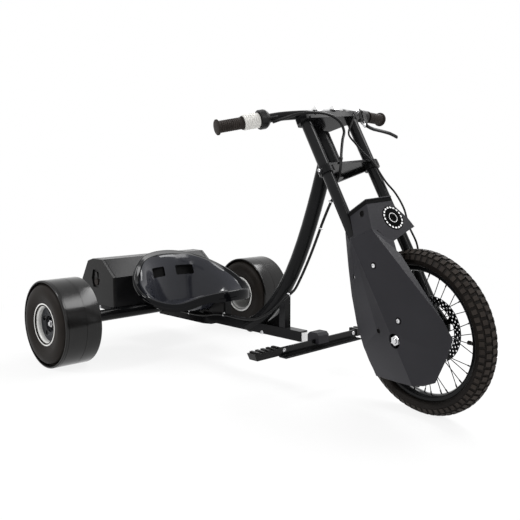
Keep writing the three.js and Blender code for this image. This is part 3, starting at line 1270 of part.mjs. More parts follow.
function buildFrontWheel(fork) {
  const wheel = new THREE.Group();
  wheel.position.set(axleLead, 0, 0);
  fork.add(wheel);
  add(wheel, 'front_tyre', frontTyreBody(), tyreRubber());
  add(wheel, 'front_rim', frontRimBody(), blackPaint());
  add(wheel, 'front_hub', frontHubBody(), darkSteel());
  const bearings = bearingSet(hub.bearingRadius - seatGap, frontAxleSize.radius + seatGap, hub.bearingWidth, hub.half);
  add(wheel, 'front_bearing_set', bearings, brightSteel());
  add(wheel, 'brake_rotor', rotorBody(), darkSteel());
  add(wheel, 'wheel_sprocket', wheelSprocket(), darkSteel());
  const shaft = rodBetween(V(0, -frontAxleSize.endRight, 0), V(0, frontAxleSize.endLeft, 0), frontAxleSize.radius);
  const outside = legs.y + legs.dropoutThickness / 2 + seatGap;
  const head = rodBetween(V(0, outside, 0), V(0, outside + frontAxleSize.headHeight, 0), frontAxleSize.headRadius, 6);
  add(wheel, 'front_axle', join(shaft, head), brightSteel());
  const nut = hexNut(frontAxleSize.headRadius, frontAxleSize.radius + seatGap, frontAxleSize.nutHeight);
  add(wheel, 'front_axle_nut', mirrorY(nut.translate([0, outside, 0])), brightSteel());
  add(wheel, 'drive_chain', driveChain(), darkSteel());
}

function buildDrive(fork) {
  const drive = new THREE.Group();
  drive.position.set(motor.x, 0, motor.z);
  fork.add(drive);
  add(drive, 'drive_motor', driveMotor(), charcoalPlastic());
  add(drive, 'motor_sprocket', motorSprocket(), darkSteel());
  add(fork, 'motor_plate', motorPlateBody(), blackPaint());
  add(fork, 'chain_cover', chainCoverBody(), charcoalPlastic());
}

// Cords held all the way, routes chosen by hand. The first two are in the steered frame.
const brakeCord = { radius: 2.4, step: 14.4 };
const brakeRoute = [
  [16, 152, 572], [40, 126, 583], [66, 102, 586], [84, 68, 568], [80, 38, 540], [74, 20, 513], [74, 29, 486], [74, 41, 460],
  [74, 60, 430], [71, 72, 394], [70, 79, 374], [70, 93, 344], [70, 99, 302], [70, 90, 254], [68, 92, 205],
  [46, 99, 172], [28, 88, 142], [28, 66, 118], [33.6, 61.4, 105.5],
];
const wireCord = { radius: 3.4, step: 20.4 };
const wireRoute = [
  [12, -141, 594], [34, -126, 589], [64, -108, 581], [86, -78, 571], [89, -34, 562], [80, 2, 545], [75, 8, 523],
  [74, -8, 499], [74, -29, 465], [74, -44, 438], [62, -50, 416], [34, -46, 404], [2, -30, 396], [-24, -12, 388],
];
// The frame's own harness runs down the front of the down tube and back along the beam
const harnessCord = { radius: 3.6, step: 21.6 };
const harnessRoute = [
  [704, 0, 497], [694, -3, 478], [668, -3, 428], [648, -3, 384], [622, -3, 330], [590, -3, 272], [571, -5, 242],
  [556, -22, 222], [528, -27, 194], [490, -27, 168], [450, -26, 150], [410, -24, 142], [370, -21, 139], [300, -19, 139.5],
  [262, -24, 137], [230, -30, 130], [190, -30, 126], [90, -30, 126], [52, -33, 128],
  [31, -35, 138.5], [14, -36, 152], [2, -36, 166],
];

function cord(route, { radius, step }) {
  const path = new THREE.CatmullRomCurve3(route.map(([x, y, z]) => V(x, y, z)), false, 'centripetal');
  return tubeAlong(path, radius, cordFacets, Math.round(path.getLength() / step));
}

function buildSteering(root) {
  const raked = new THREE.Group();
  raked.position.copy(steeringFoot);
  raked.rotation.y = -rakeAngle;
  root.add(raked);
  const fork = new THREE.Group();
  fork.rotation.z = restSteerAngle;
  raked.add(fork);
  add(raked, 'headset_lower', headsetRing().rotate([180, 0, 0]).translate([0, 0, headTube.low]), darkSteel());
  add(raked, 'headset_upper', headsetRing().translate([0, 0, headTube.high]), darkSteel());
  add(fork, 'lower_crown', lowerCrownBody(), blackPaint());
  add(fork, 'upper_crown', upperCrownBody(), blackPaint());
  add(fork, 'fork_leg_left', forkLeg(), blackPaint());
  add(fork, 'fork_leg_right', mirrorY(forkLeg()), blackPaint());
  buildHandlebar(fork);
  buildFrontWheel(fork);
  buildDrive(fork);
  buildCaliper(fork);
  add(fork, 'brake_cable', cord(brakeRoute, brakeCord), cordBlack());
  add(fork, 'control_wires', cord(wireRoute, wireCord), cordBlack());
}

const trike = new THREE.Group();
const assembly = new THREE.Group();
trike.add(assembly);
add(assembly, 'main_frame', mainFrame(), blackPaint());
add(assembly, 'frame_harness', cord(harnessRoute, harnessCord), cordBlack());
add(assembly, 'seat_shell', seatBody(), seatPlastic());
buildRearWheels(assembly);
buildBatteryBox(assembly);
footrestPieces(assembly);
buildSteering(assembly);

// The origin is the middle of the machine's footprint, on the ground
trike.updateMatrixWorld(true);
const bounds = new THREE.Box3().setFromObject(trike, true);
const middle = bounds.getCenter(V(0, 0, 0));
assembly.position.set(-middle.x, -middle.y, -bounds.min.z);

export default trike;
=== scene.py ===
"""Dresses the tricycle drifter scooter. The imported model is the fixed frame, and every piece rides on it.

Lengths of the pieces are written in millimetres and turned to metres where a piece is placed.
+X points forward, +Y to the rider's left, +Z up, and the ground is at zero.
"""

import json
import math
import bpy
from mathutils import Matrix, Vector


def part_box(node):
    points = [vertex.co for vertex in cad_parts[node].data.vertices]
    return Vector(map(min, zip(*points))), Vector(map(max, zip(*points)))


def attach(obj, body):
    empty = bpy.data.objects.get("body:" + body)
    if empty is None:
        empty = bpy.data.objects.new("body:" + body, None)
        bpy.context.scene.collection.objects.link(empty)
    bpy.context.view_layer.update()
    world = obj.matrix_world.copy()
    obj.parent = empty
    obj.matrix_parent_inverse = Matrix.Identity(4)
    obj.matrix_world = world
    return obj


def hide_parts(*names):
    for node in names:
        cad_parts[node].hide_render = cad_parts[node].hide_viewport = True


bl_info = {
    "name": "Tricycle drifter scooter",
    "version": (1, 0, 0),
    "blender": (4, 5, 0),
    "location": "3D View > Sidebar > Trike",
    "description": "Finishes and finely made pieces for an electric drift trike",
    "category": "Object",
}

import bmesh
import bpy
from mathutils import Matrix, Vector

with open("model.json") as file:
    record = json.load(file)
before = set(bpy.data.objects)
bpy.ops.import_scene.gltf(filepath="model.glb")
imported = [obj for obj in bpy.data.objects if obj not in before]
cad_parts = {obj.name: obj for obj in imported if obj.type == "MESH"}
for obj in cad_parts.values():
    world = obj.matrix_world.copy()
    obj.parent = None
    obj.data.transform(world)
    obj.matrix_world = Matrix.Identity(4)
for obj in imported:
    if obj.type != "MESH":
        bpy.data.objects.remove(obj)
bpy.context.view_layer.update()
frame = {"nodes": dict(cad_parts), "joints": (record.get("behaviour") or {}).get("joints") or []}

MM = 0.001
TURN = 2 * math.pi


# Places that pieces share


def joint_named(name):
    """The record's joint of that name."""
    return next(j for j in frame["joints"] if j["name"] == name)


def middle_of(node):
    """Middle of a node's box."""
    low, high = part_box(node)
    return (Vector(low) + Vector(high)) / 2


UP = Vector(joint_named("steer")["axis"]).normalized()
LEFT = Vector(joint_named("front_wheel_spin")["axis"]).normalized()
AHEAD = LEFT.cross(UP).normalized()


def axes(ahead, left, up, origin):
    """Matrix whose columns are three directions, standing at an origin."""
    turn = Matrix((ahead, left, up)).transposed().to_4x4()
    return Matrix.Translation(origin) @ turn


FORK = axes(AHEAD, LEFT, UP, Vector(joint_named("steer")["pos_m"]))
FRONT_WHEEL = axes(AHEAD, LEFT, UP, Vector(joint_named("front_wheel_spin")["pos_m"]))
REAR_RIGHT = Matrix.Translation(middle_of("rear_slider_sleeve_right"))
REAR_LEFT = Matrix.Translation(middle_of("rear_slider_sleeve_left"))
GROUND = Matrix.Translation((middle_of("rear_slider_sleeve_right").x, 0, 0))


# Sizes and colours that a user would change


class TrikeSizes(bpy.types.PropertyGroup):
    """Sizes of the made pieces"""

    round_steps: bpy.props.IntProperty(
        name="Round steps", description="Facets round each wheel", default=96, min=24, max=256)
    tread_pitches: bpy.props.IntProperty(
        name="Tread pitches", description="Blocks round the front tyre in each row", default=66, min=20,
        max=120)
    edge_softness: bpy.props.FloatProperty(
        name="Edge softness", description="Width of the rounded edges", default=0.0007, min=0.0,
        subtype="DISTANCE", unit="LENGTH")
    grip_ribs: bpy.props.IntProperty(
        name="Grip ribs", description="Ribs along each rubber grip", default=13, min=2, max=40)
    sleeve_ribs: bpy.props.IntProperty(
        name="Sleeve ribs", description="Ribs along the pale throttle sleeve", default=7, min=2, max=20)


def colour_property(label, words, default):
    return bpy.props.FloatVectorProperty(
        name=label, description=words, default=default, size=3, min=0.0, max=1.0, subtype="COLOR")


class TrikeColours(bpy.types.PropertyGroup):
    """Colours of the finishes"""

    paint: colour_property("Frame paint", "Powder coat of frame, fork and bar", (0.0042, 0.0043, 0.0047))
    cover: colour_property("Drive cover", "Moulded cover over the chain", (0.0178, 0.0174, 0.0205))
    seat: colour_property("Seat", "Glossy seat shell", (0.0016, 0.0017, 0.0023))
    # Painted reflection: the seat's walls and pan are about ten times lighter than its rim, a painted sheen
    # on one black plastic.
    seat_inside_painted_sheen: colour_property("Seat inside", "Seat walls and pan", (0.0150, 0.0158, 0.0205))
    slider: colour_property("Slider sleeve", "Hard sleeve round the rear tyres", (0.0034, 0.0032, 0.0031))
    rubber: colour_property("Rubber", "Tyre rubber", (0.0105, 0.0084, 0.0070))
    grip: colour_property("Grip", "Grip rubber", (0.0200, 0.0160, 0.0140))
    wheel: colour_property("Rear rim", "White rear rims", (0.78, 0.78, 0.76))
    sleeve: colour_property("Throttle sleeve", "Pale throttle sleeve", (0.62, 0.61, 0.58))


# Shader maths


def feed(tree, socket, term):
    """Gives a socket a link or a plain value."""
    if isinstance(term, Amount):
        tree.links.new(term.socket, socket)
    elif isinstance(term, bpy.types.NodeSocket):
        tree.links.new(term, socket)
    else:
        socket.default_value = term


class Amount:
    """A number that varies over a surface. Arithmetic on it adds Math nodes."""

    def __init__(self, tree, socket):
        self.tree = tree
        self.socket = socket

    def join(self, operation, *terms):
        node = self.tree.nodes.new("ShaderNodeMath")
        node.operation = operation
        for socket, term in zip(node.inputs, terms):
            feed(self.tree, socket, term)
        return Amount(self.tree, node.outputs[0])

    def __add__(self, other):
        return self.join("ADD", self, other)

    def __radd__(self, other):
        return self.join("ADD", other, self)

    def __sub__(self, other):
        return self.join("SUBTRACT", self, other)

    def __rsub__(self, other):
        return self.join("SUBTRACT", other, self)

    def __mul__(self, other):
        return self.join("MULTIPLY", self, other)

    def __rmul__(self, other):
        return self.join("MULTIPLY", other, self)

    def __truediv__(self, other):
        return self.join("DIVIDE", self, other)

    def __rtruediv__(self, other):
        return self.join("DIVIDE", other, self)

    def sine(self):
        return self.join("SINE", self)

    def size(self):
        return self.join("ABSOLUTE", self)

    def within(self):
        """The number held between zero and one."""
        held = self.join("ADD", self, 0.0)
        held.socket.node.use_clamp = True
        return held

    def ramp(self, low, high):
        """Zero below low, one above high, straight between."""
        return ((self - low) / (high - low)).within()


COAT_ROUGHNESS = 0.1


class Finish:
    """A material with a Principled shader, and one method that adds any node to it."""

    def __init__(self, name, colour, roughness, metallic=0.0, specular=0.5, coat=0.0):
        self.material = bpy.data.materials.new(name)
        self.material.use_nodes = True
        self.tree = self.material.node_tree
        self.shader = self.tree.nodes["Principled BSDF"]
        self.flat = (*colour, 1.0)
        self.material.diffuse_color = self.flat
        for key, value in (("Base Color", self.flat), ("Roughness", roughness), ("Metallic", metallic),
                           ("Specular IOR Level", specular), ("Coat Weight", coat),
                           ("Coat Roughness", COAT_ROUGHNESS)):
            self.shader.inputs[key].default_value = value

    def node(self, kind, settings=None, values=None, output=0):
        made = self.tree.nodes.new(kind)
        for key, value in (settings or {}).items():
            setattr(made, key, value)
        for key, value in (values or {}).items():
            feed(self.tree, made.inputs[key], value)
        return made.outputs[output]

    def amount(self, kind, settings=None, values=None, output=0):
        return Amount(self.tree, self.node(kind, settings, values, output))

    def vector(self, operation, *terms):
        return self.node("ShaderNodeVectorMath", {"operation": operation}, dict(enumerate(terms)))

    def measure(self, operation, *terms):
        """A number made from vectors."""
        return Amount(self.tree, self.vector(operation, *terms).node.outputs["Value"])

    def where(self):
        """Place on the object, in metres."""
        return self.node("ShaderNodeTexCoord", output="Object")

    def along(self, origin, direction):
        """Distance of the place along a direction, from an origin."""
        return self.measure("DOT_PRODUCT", self.vector("SUBTRACT", self.where(), origin), direction)

    def from_axis(self, origin, direction):
        """Distance of the place from an axle."""
        apart = self.vector("SUBTRACT", self.where(), origin)
        return self.measure("LENGTH", self.vector("CROSS_PRODUCT", apart, direction))

    def corners(self, full):
        """Zero on flat faces and up to one on outside edges, reached at full."""
        return self.amount("ShaderNodeNewGeometry", output="Pointiness").ramp(0.52, full)

    def noise(self, scale, detail=3.0, stretch=(1, 1, 1)):
        place = self.vector("MULTIPLY", self.where(), stretch)
        return self.amount(
            "ShaderNodeTexNoise", None, {"Vector": place, "Scale": scale, "Detail": detail}, output="Fac")

    def mix(self, factor, first, second):
        """Colour between two colours."""
        made = self.tree.nodes.new("ShaderNodeMix")
        made.data_type = "RGBA"
        feed(self.tree, made.inputs[0], factor)
        feed(self.tree, made.inputs[6], first)
        feed(self.tree, made.inputs[7], second)
        return made.outputs[2]

    def colour(self, socket):
        feed(self.tree, self.shader.inputs["Base Color"], socket)

    def roughness(self, amount):
        feed(self.tree, self.shader.inputs["Roughness"], amount)

    def relief(self, amount, height, strength=1.0):
        values = {"Strength": strength, "Distance": height, "Height": amount}
        bump = self.node("ShaderNodeBump", None, values)
        feed(self.tree, self.shader.inputs["Normal"], bump)


def shade(colour, times, add=0.0):
    """A colour made lighter or darker, as a socket value."""
    return (*[min(1.0, c * times + add) for c in colour], 1.0)


# Finishes


SIDEWAYS = (0.0, 1.0, 0.0)


def painted(name, colour, roughness, specular):
    """Powder coat: fine orange peel, cloudy gloss, a little dust and worn corners."""
    made = Finish(name, colour, roughness, specular=specular)
    cloud = made.noise(14.0, 4.0)
    peel = made.noise(900.0, 2.0)
    base = made.mix(cloud.ramp(0.35, 0.75), made.flat, shade(colour, 1.5, 0.0015))
    made.colour(made.mix(made.corners(0.62) * 0.35, base, shade(colour, 5.0, 0.02)))
    made.roughness((roughness + (cloud - 0.5) * 0.16 + (peel - 0.5) * 0.06).within())
    made.relief(peel, 0.00006, 0.5)
    return made.material


def moulded(name, colour, roughness, grain=1500.0, specular=0.5):
    """Moulded plastic: fine grain, cloudy gloss and rubbed corners."""
    made = Finish(name, colour, roughness, specular=specular)
    cloud = made.noise(9.0, 3.0)
    cells = made.amount(
        "ShaderNodeTexVoronoi", None, {"Vector": made.where(), "Scale": grain}, output="Distance")
    base = made.mix(cloud.ramp(0.3, 0.8), made.flat, shade(colour, 1.2, 0.001))
    made.colour(made.mix(made.corners(0.64) * 0.4, base, shade(colour, 2.2, 0.02)))
    made.roughness((roughness + (cloud - 0.5) * 0.14 + (cells - 0.4) * 0.1).within())
    made.relief(cells, 0.00006, 0.6)
    return made.material


def seat_gloss(name, colour, roughness, specular):
    """Polished seat plastic with faint swirls and fine scuffs where a rider slides."""
    made = Finish(name, colour, roughness, specular=specular)
    cloud = made.noise(7.0, 3.0)
    scuff = made.noise(260.0, 3.0, (1.0, 0.12, 1.0))
    made.colour(made.mix(cloud.ramp(0.3, 0.8), made.flat, shade(colour, 1.6, 0.001)))
    made.roughness((roughness + (cloud - 0.5) * 0.06 + scuff.ramp(0.55, 0.8) * 0.1).within())
    made.relief(made.noise(120.0, 2.0), 0.00004, 0.4)
    return made.material


def slider_gloss(name, colour, origin):
    """Hard slider plastic: turned rings, lengthwise rub marks and greyer where it has slid."""
    made = Finish(name, colour, 0.16, specular=0.3)
    radius = made.from_axis(origin, SIDEWAYS)
    across = made.along(origin, SIDEWAYS)
    rings = (across * 5200.0).sine()
    rub = made.noise(90.0, 5.0, (0.25, 3.0, 0.25))
    cloud = made.noise(8.0, 3.0)
    base = made.mix(rub.ramp(0.45, 0.8) * 0.55, made.flat, shade(colour, 2.0, 0.004))
    outside = radius.ramp(0.1255, 0.1268)
    made.colour(made.mix(outside * cloud.ramp(0.4, 0.8) * 0.4, base, shade(colour, 2.2, 0.006)))
    made.roughness((0.15 + (rub - 0.5) * 0.14 + (cloud - 0.5) * 0.06).within())
    made.relief(rings * 0.25 + rub, 0.00005, 0.5)
    return made.material


def sidewall_rubber(name, colour, origin, direction, ring_gap):
    """Tyre rubber with moulded rings round the axle, faint bloom and dust."""
    made = Finish(name, colour, 0.6, specular=0.1)
    radius = made.from_axis(origin, direction)
    rings = (radius * (TURN / ring_gap)).sine()
    bloom = made.noise(26.0, 5.0)
    grain = made.noise(1300.0, 2.0)
    dusty = bloom.ramp(0.4, 0.85)
    made.colour(made.mix(dusty * 0.6, made.flat, shade(colour, 1.8, 0.004)))
    made.roughness((0.52 + (bloom - 0.5) * 0.25 + (grain - 0.5) * 0.12).within())
    made.relief(rings.ramp(-0.2, 0.9) * 0.7 + grain * 0.25, 0.00018, 0.55)
    return made.material


def tread_rubber(name, colour):
    """Front tyre rubber: matte, dusty, with fine moulding texture."""
    made = Finish(name, colour, 0.66, specular=0.12)
    bloom = made.noise(40.0, 5.0)
    grain = made.noise(1700.0, 2.0)
    made.colour(made.mix(bloom.ramp(0.35, 0.8), made.flat, shade(colour, 1.7, 0.003)))
    made.roughness((0.6 + (bloom - 0.5) * 0.3).within())
    made.relief(grain, 0.00015, 0.6)
    return made.material


def metal(name, colour, roughness, brushed=(1.0, 1.0, 1.0)):
    """Bare metal with brushed streaks and cloudy tarnish."""
    made = Finish(name, colour, roughness, metallic=1.0)
    streak = made.noise(400.0, 3.0, brushed)
    cloud = made.noise(30.0, 4.0)
    made.colour(made.mix(cloud.ramp(0.35, 0.8) * 0.5, made.flat, shade(colour, 0.72)))
    made.roughness((roughness + (streak - 0.5) * 0.16 + (cloud - 0.5) * 0.18).within())
    made.relief(streak, 0.00003, 0.5)
    return made.material


def rim_white(name, colour, origin):
    """White rim paint, with painted shade greying the barrel and a near black line of painted shade in the
    step under its lip.
    """
    made = Finish(name, colour, 0.3, specular=0.4, coat=0.2)
    radius = made.from_axis(origin, SIDEWAYS)
    # Painted shade: the barrel, within 45 to 53 mm of the wheel's middle plane, is greyed to 0.8.
    deep = 1.0 - made.along(origin, SIDEWAYS).size().ramp(0.045, 0.053)
    cloud = made.noise(30.0, 4.0)
    # Painted shade: a near black line at 55.9 mm radius, in the step under the lip.
    painted_step_shade = (1.0 - ((radius - 0.0559).size() / 0.0012)).within()
    base = made.mix(cloud.ramp(0.45, 0.85) * 0.5, made.flat, shade(colour, 0.82))
    barrel = made.mix(deep, base, shade(colour, 0.8))
    made.colour(made.mix(painted_step_shade * 0.9, barrel, shade(colour, 0.04)))
    made.roughness((0.27 + (cloud - 0.5) * 0.2).within())
    made.relief(made.noise(600.0, 2.0), 0.00004, 0.4)
    return made.material


def grip_rubber(name, colour):
    """Soft grip rubber, slightly shiny where hands rub it."""
    made = Finish(name, colour, 0.58, specular=0.12)
    worn = made.noise(60.0, 4.0)
    grain = made.noise(2200.0, 2.0)
    made.colour(made.mix(worn.ramp(0.35, 0.8), made.flat, shade(colour, 1.7, 0.004)))
    made.roughness((0.6 + (worn - 0.5) * 0.35).within())
    made.relief(grain, 0.00012, 0.7)
    return made.material


FINISHES = {}
# Label, name, roughness and specular level, in the frame's own colour
PAINTS = (("satin paint", "satin_black_paint", 0.2, 0.1), ("gloss paint", "gloss_black_paint", 0.15, 0.14))
# Label, name, colour, roughness and specular level
SMALL_PAINTS = (
    ("box paint", "box_black_paint", (0.0040, 0.0040, 0.0044), 0.22, 0.075),
    ("black steel", "black_steel", (0.0050, 0.0050, 0.0054), 0.22, 0.16),
    ("motor", "motor_can_paint", (0.010, 0.010, 0.011), 0.3, 0.2),
)
# Label, name, colour, roughness, grain and specular level
PLASTICS = (
    ("black plastic", "black_plastic", (0.0062, 0.0060, 0.0060), 0.3, 1500.0, 0.16),
    ("cord", "cord_jacket", (0.0045, 0.0045, 0.0048), 0.34, 2500.0, 0.16),
    ("battery", "battery_wrap", (0.11, 0.115, 0.12), 0.55, 900.0, 0.5),
    ("pale print", "pale_marks", (0.80, 0.80, 0.80), 0.5, 2500.0, 0.3),
    # Painted shade: a near black that hardly reflects. It goes in the cover's holes, round its screws, under
    # its lid, behind the seat's slots and on the strut's plate. It is also the badge disc's own black.
    ("dark hollow", "dark_recess", (0.0008, 0.0008, 0.0009), 0.8, 1500.0, 0.03),
)
# Label, name, colour and roughness
METALS = (
    ("cast aluminium", "polished_aluminium", (0.86, 0.86, 0.86), 0.18),
    ("steel", "bright_steel", (0.66, 0.66, 0.67), 0.26),
    ("dark steel", "dark_steel", (0.042, 0.042, 0.045), 0.42),
    ("hub grey", "hub_grey", (0.055, 0.057, 0.062), 0.42),
    ("chain steel", "oiled_chain_steel", (0.2, 0.19, 0.18), 0.34),
)


def make_finishes(colours):
    """Every finish of the trike, by name."""
    rubber = tuple(colours.rubber)
    for label, name, roughness, specular in PAINTS:
        FINISHES[label] = painted(name, tuple(colours.paint), roughness, specular)
    for label, *about in SMALL_PAINTS:
        FINISHES[label] = painted(*about)
    for label, *about in PLASTICS:
        FINISHES[label] = moulded(*about)
    for label, *about in METALS:
        FINISHES[label] = metal(*about)
    for side, place in (("right", REAR_RIGHT), ("left", REAR_LEFT)):
        origin = tuple(place.translation)
        FINISHES[f"{side} slider"] = slider_gloss(f"{side}_slider_plastic", tuple(colours.slider), origin)
        FINISHES[f"{side} sidewall"] = sidewall_rubber(
            f"{side}_tyre_rubber", rubber, origin, SIDEWAYS, 0.0052)
        FINISHES[f"{side} rim"] = rim_white(f"{side}_rim_paint", tuple(colours.wheel), origin)
    FINISHES.update({
        "aluminium": metal("bare_aluminium", (0.74, 0.74, 0.74), 0.3, (1.0, 14.0, 14.0)),
        "cover plastic": moulded("cover_plastic", tuple(colours.cover), 0.5, 1100.0, 0.12),
        "pale sleeve": moulded("pale_sleeve", tuple(colours.sleeve), 0.45, 1800.0, 0.3),
        "seat plastic": seat_gloss("seat_plastic", tuple(colours.seat), 0.07, 0.12),
        "seat inside painted sheen": seat_gloss("seat_inside_plastic_painted_sheen", tuple(colours.seat_inside_painted_sheen), 0.13, 0.3),
        # Lit and shaded copies of one rubber: block tops are 2.1 times lighter as a painted highlight, and
        # grooves and sidewalls 0.8 times darker as painted shade.
        "tread": tread_rubber("front_tyre_block_rubber_painted_highlight", tuple(c * 2.1 for c in rubber)),
        "carcass": sidewall_rubber("front_tyre_rubber_painted_shade", tuple(c * 0.8 for c in rubber),
                                   tuple(FRONT_WHEEL.translation), tuple(LEFT), 0.0055),
        "grip": grip_rubber("grip_rubber", tuple(colours.grip)),
    })


# Forms: points and faces in millimetres, placed as one piece


class Form:
    """Points and faces in millimetres that become one piece. A face's mark picks its finish."""

    def __init__(self):
        self.points = []
        self.faces = []
        self.marks = []
        self.mark = 0

    def ring(self, points):
        start = len(self.points)
        self.points.extend(Vector(p) for p in points)
        return list(range(start, len(self.points)))

    def face(self, corners):
        self.faces.append(tuple(corners))
        self.marks.append(self.mark)

    def bridge(self, first, second):
        count = len(first)
        for i in range(count):
            j = (i + 1) % count
            self.face((first[i], first[j], second[j], second[i]))

    def loft(self, rings, looped=False):
        """Joins closed rings in a row, and either caps the ends or joins them."""
        made = [self.ring(points) for points in rings]
        for first, second in zip(made, made[1:]):
            self.bridge(first, second)
        if looped:
            self.bridge(made[-1], made[0])
        else:
            self.face(reversed(made[0]))
            self.face(made[-1])
        return self

    def add(self, other, place=None):
        start = len(self.points)
        for point in other.points:
            self.points.append(place @ point if place is not None else point.copy())
        for corners, mark in zip(other.faces, other.marks):
            self.faces.append(tuple(start + i for i in corners))
            self.marks.append(mark)
        return self

    def marked(self, mark):
        self.marks = [mark] * len(self.marks)
        return self


def turned(profile, steps):
    """A closed profile of [radius, place along] points turned round the Y axis."""
    rings = []
    for i in range(steps):
        angle = TURN * i / steps
        rings.append([(r * math.cos(angle), y, r * math.sin(angle)) for r, y in profile])
    return Form().loft(rings, looped=True)


def mirrored(profile):
    """A profile's other half, across the middle plane."""
    return [(r, -y) for r, y in reversed(profile)]


def bowed(first, second, bulge, steps):
    """Points of a flat arc from one profile point to another, without its last point."""
    (r0, y0), (r1, y1) = first, second
    length = math.hypot(r1 - r0, y1 - y0)
    nr, ny = (y1 - y0) / length, -(r1 - r0) / length
    made = []
    for i in range(steps):
        t = i / steps
        lift = bulge * 4 * t * (1 - t)
        made.append((r0 + (r1 - r0) * t + nr * lift, y0 + (y1 - y0) * t + ny * lift))
    return made


def smooth_path(points, steps, closed=False):
    """Centripetal curve through points, with a number of steps between each two."""
    points = [Vector(p) for p in points]
    count = len(points)
    made = []
    spans = count if closed else count - 1
    for i in range(spans):
        if closed:
            p0, p1, p2, p3 = (points[(i + k) % count] for k in (-1, 0, 1, 2))
        else:
            p1, p2 = points[i], points[i + 1]
            p0 = points[i - 1] if i > 0 else p1 * 2 - p2
            p3 = points[i + 2] if i + 2 < count else p2 * 2 - p1
        d0, d1, d2 = (max((b - a).length, 1e-6) ** 0.5 for a, b in ((p0, p1), (p1, p2), (p2, p3)))
        t1 = ((p1 - p0) / d0 - (p2 - p0) / (d0 + d1) + (p2 - p1) / d1) * d1
        t2 = ((p2 - p1) / d1 - (p3 - p1) / (d1 + d2) + (p3 - p2) / d2) * d1
        for k in range(steps):
            t = k / steps
            made.append(
                p1 * (2 * t ** 3 - 3 * t ** 2 + 1) + t1 * (t ** 3 - 2 * t ** 2 + t)
                + p2 * (3 * t ** 2 - 2 * t ** 3) + t2 * (t ** 3 - t ** 2))
    if not closed:
        made.append(points[-1])
    return made


def bezier(points, steps):
    """Cubic curve's points, without the last."""
    a, b, c, d = (Vector(p) for p in points)
    made = []
    for k in range(steps):
        t = k / steps
        s = 1 - t
        made.append(a * s ** 3 + b * (3 * s * s * t) + c * (3 * s * t * t) + d * t ** 3)
    return made


def square_to(way):
    """Two directions square to a direction and to each other."""
    guide = Vector((0, 0, 1)) if abs(way.z) < 0.9 else Vector((1, 0, 0))
    side = way.cross(guide).normalized()
    return side, side.cross(way)


def swept(path, section):
    """A section carried along a path without twist. section gives [side, up] points for a step."""
    path = [Vector(p) for p in path]
    last = len(path) - 1
    ways = [(path[min(i + 1, last)] - path[max(i - 1, 0)]).normalized() for i in range(last + 1)]
    side = square_to(ways[0])[0]
    rings = []
    for i, (point, way) in enumerate(zip(path, ways)):
        side = (side - way * side.dot(way)).normalized()
        up = side.cross(way)
        rings.append([point + side * a + up * b for a, b in section(i)])
    return Form().loft(rings)


def circle(radius, sides):
    """Points of a circle as [side, up]."""
    angles = [TURN * k / sides for k in range(sides)]
    return [(radius * math.cos(angle), radius * math.sin(angle)) for angle in angles]


def round_tube(path, radius, sides):
    """A round tube with flat ends."""
    outline = circle(1.0, sides)
    return swept(path, lambda i: [(a * radius, b * radius) for a, b in outline])


def rod(start, end, radius, sides=20, soften=0.0):
    """A straight rod, its end edges turned in by soften."""
    start = Vector(start)
    end = Vector(end)
    way = (end - start).normalized()
    stations = [(start, radius), (end, radius)]
    if soften > 0:
        stations = [(start, radius - soften), (start + way * soften, radius), (end - way * soften, radius),
                    (end, radius - soften)]
    outline = circle(1.0, sides)
    side, up = square_to(way)
    return Form().loft([[p + (side * a + up * b) * r for a, b in outline] for p, r in stations])


def rounded_outline(half_width, half_height, corner, steps=5):
    """Rounded rectangle as [side, up] points."""
    made = []
    for cx, cy, start in ((1, 1, 0), (-1, 1, 90), (-1, -1, 180), (1, -1, 270)):
        for k in range(steps + 1):
            angle = math.radians(start + 90 * k / steps)
            made.append((cx * (half_width - corner) + corner * math.cos(angle),
                         cy * (half_height - corner) + corner * math.sin(angle)))
    return made


# Pieces


CREASE = 32.0
SAME_PLACE = 0.00001
FLAT_ENOUGH = math.radians(0.6)


def reworked(mesh, change):
    """Puts a mesh through a change in bmesh."""
    work = bmesh.new()
    work.from_mesh(mesh)
    change(work)
    work.to_mesh(mesh)
    work.free()


def smoothed(mesh, crease=None):
    """Shades a mesh smooth, except over creases."""
    mesh.polygons.foreach_set("use_smooth", [True] * len(mesh.polygons))
    if crease is not None:
        mesh.set_sharp_from_angle(angle=math.radians(crease))


def mesh_of(name, form, place):
    """A form's mesh in its place, its faces turned outward."""
    mesh = bpy.data.meshes.new(name)
    mesh.from_pydata([place @ (point * MM) for point in form.points], [], form.faces)
    reworked(mesh, lambda work: bmesh.ops.recalc_face_normals(work, faces=work.faces))
    return mesh


def mesh_with_modifiers(piece):
    """The mesh that a piece's modifiers make."""
    bpy.context.view_layer.update()
    return bpy.data.meshes.new_from_object(piece.evaluated_get(bpy.context.evaluated_depsgraph_get()))


def linked(name, mesh):
    """A new object in the scene."""
    thing = bpy.data.objects.new(name, mesh)
    bpy.context.scene.collection.objects.link(thing)
    return thing


def set_on_body(name, mesh, body, slot, stands_for):
    """Makes a mesh a piece that rides on its body and hides the nodes that it stands for."""
    piece = linked(name, mesh)
    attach(piece, body)
    if stands_for:
        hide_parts(*stands_for)
    return piece


def make_piece(name, form, place, finishes, body, slot, stands_for=(), crease=CREASE):
    """Turns a form into a piece on its body, with its finish and the nodes that it stands for."""
    mesh = mesh_of(name, form, place)
    for label in [finishes] if isinstance(finishes, str) else finishes:
        mesh.materials.append(FINISHES[label])
    for polygon, mark in zip(mesh.polygons, form.marks):
        polygon.material_index = mark
    smoothed(mesh, crease)
    return set_on_body(name, mesh, body, slot, stands_for)


def on_fork(name, form, finishes, slot, **more):
    """A piece placed by the fork, that turns with it."""
    return make_piece(name, form, FORK, finishes, "steering", slot, **more)


def on_frame(name, form, finishes, slot, **more):
    """A piece placed over the ground, that stays on the frame."""
    return make_piece(name, form, GROUND, finishes, "frame", slot, **more)


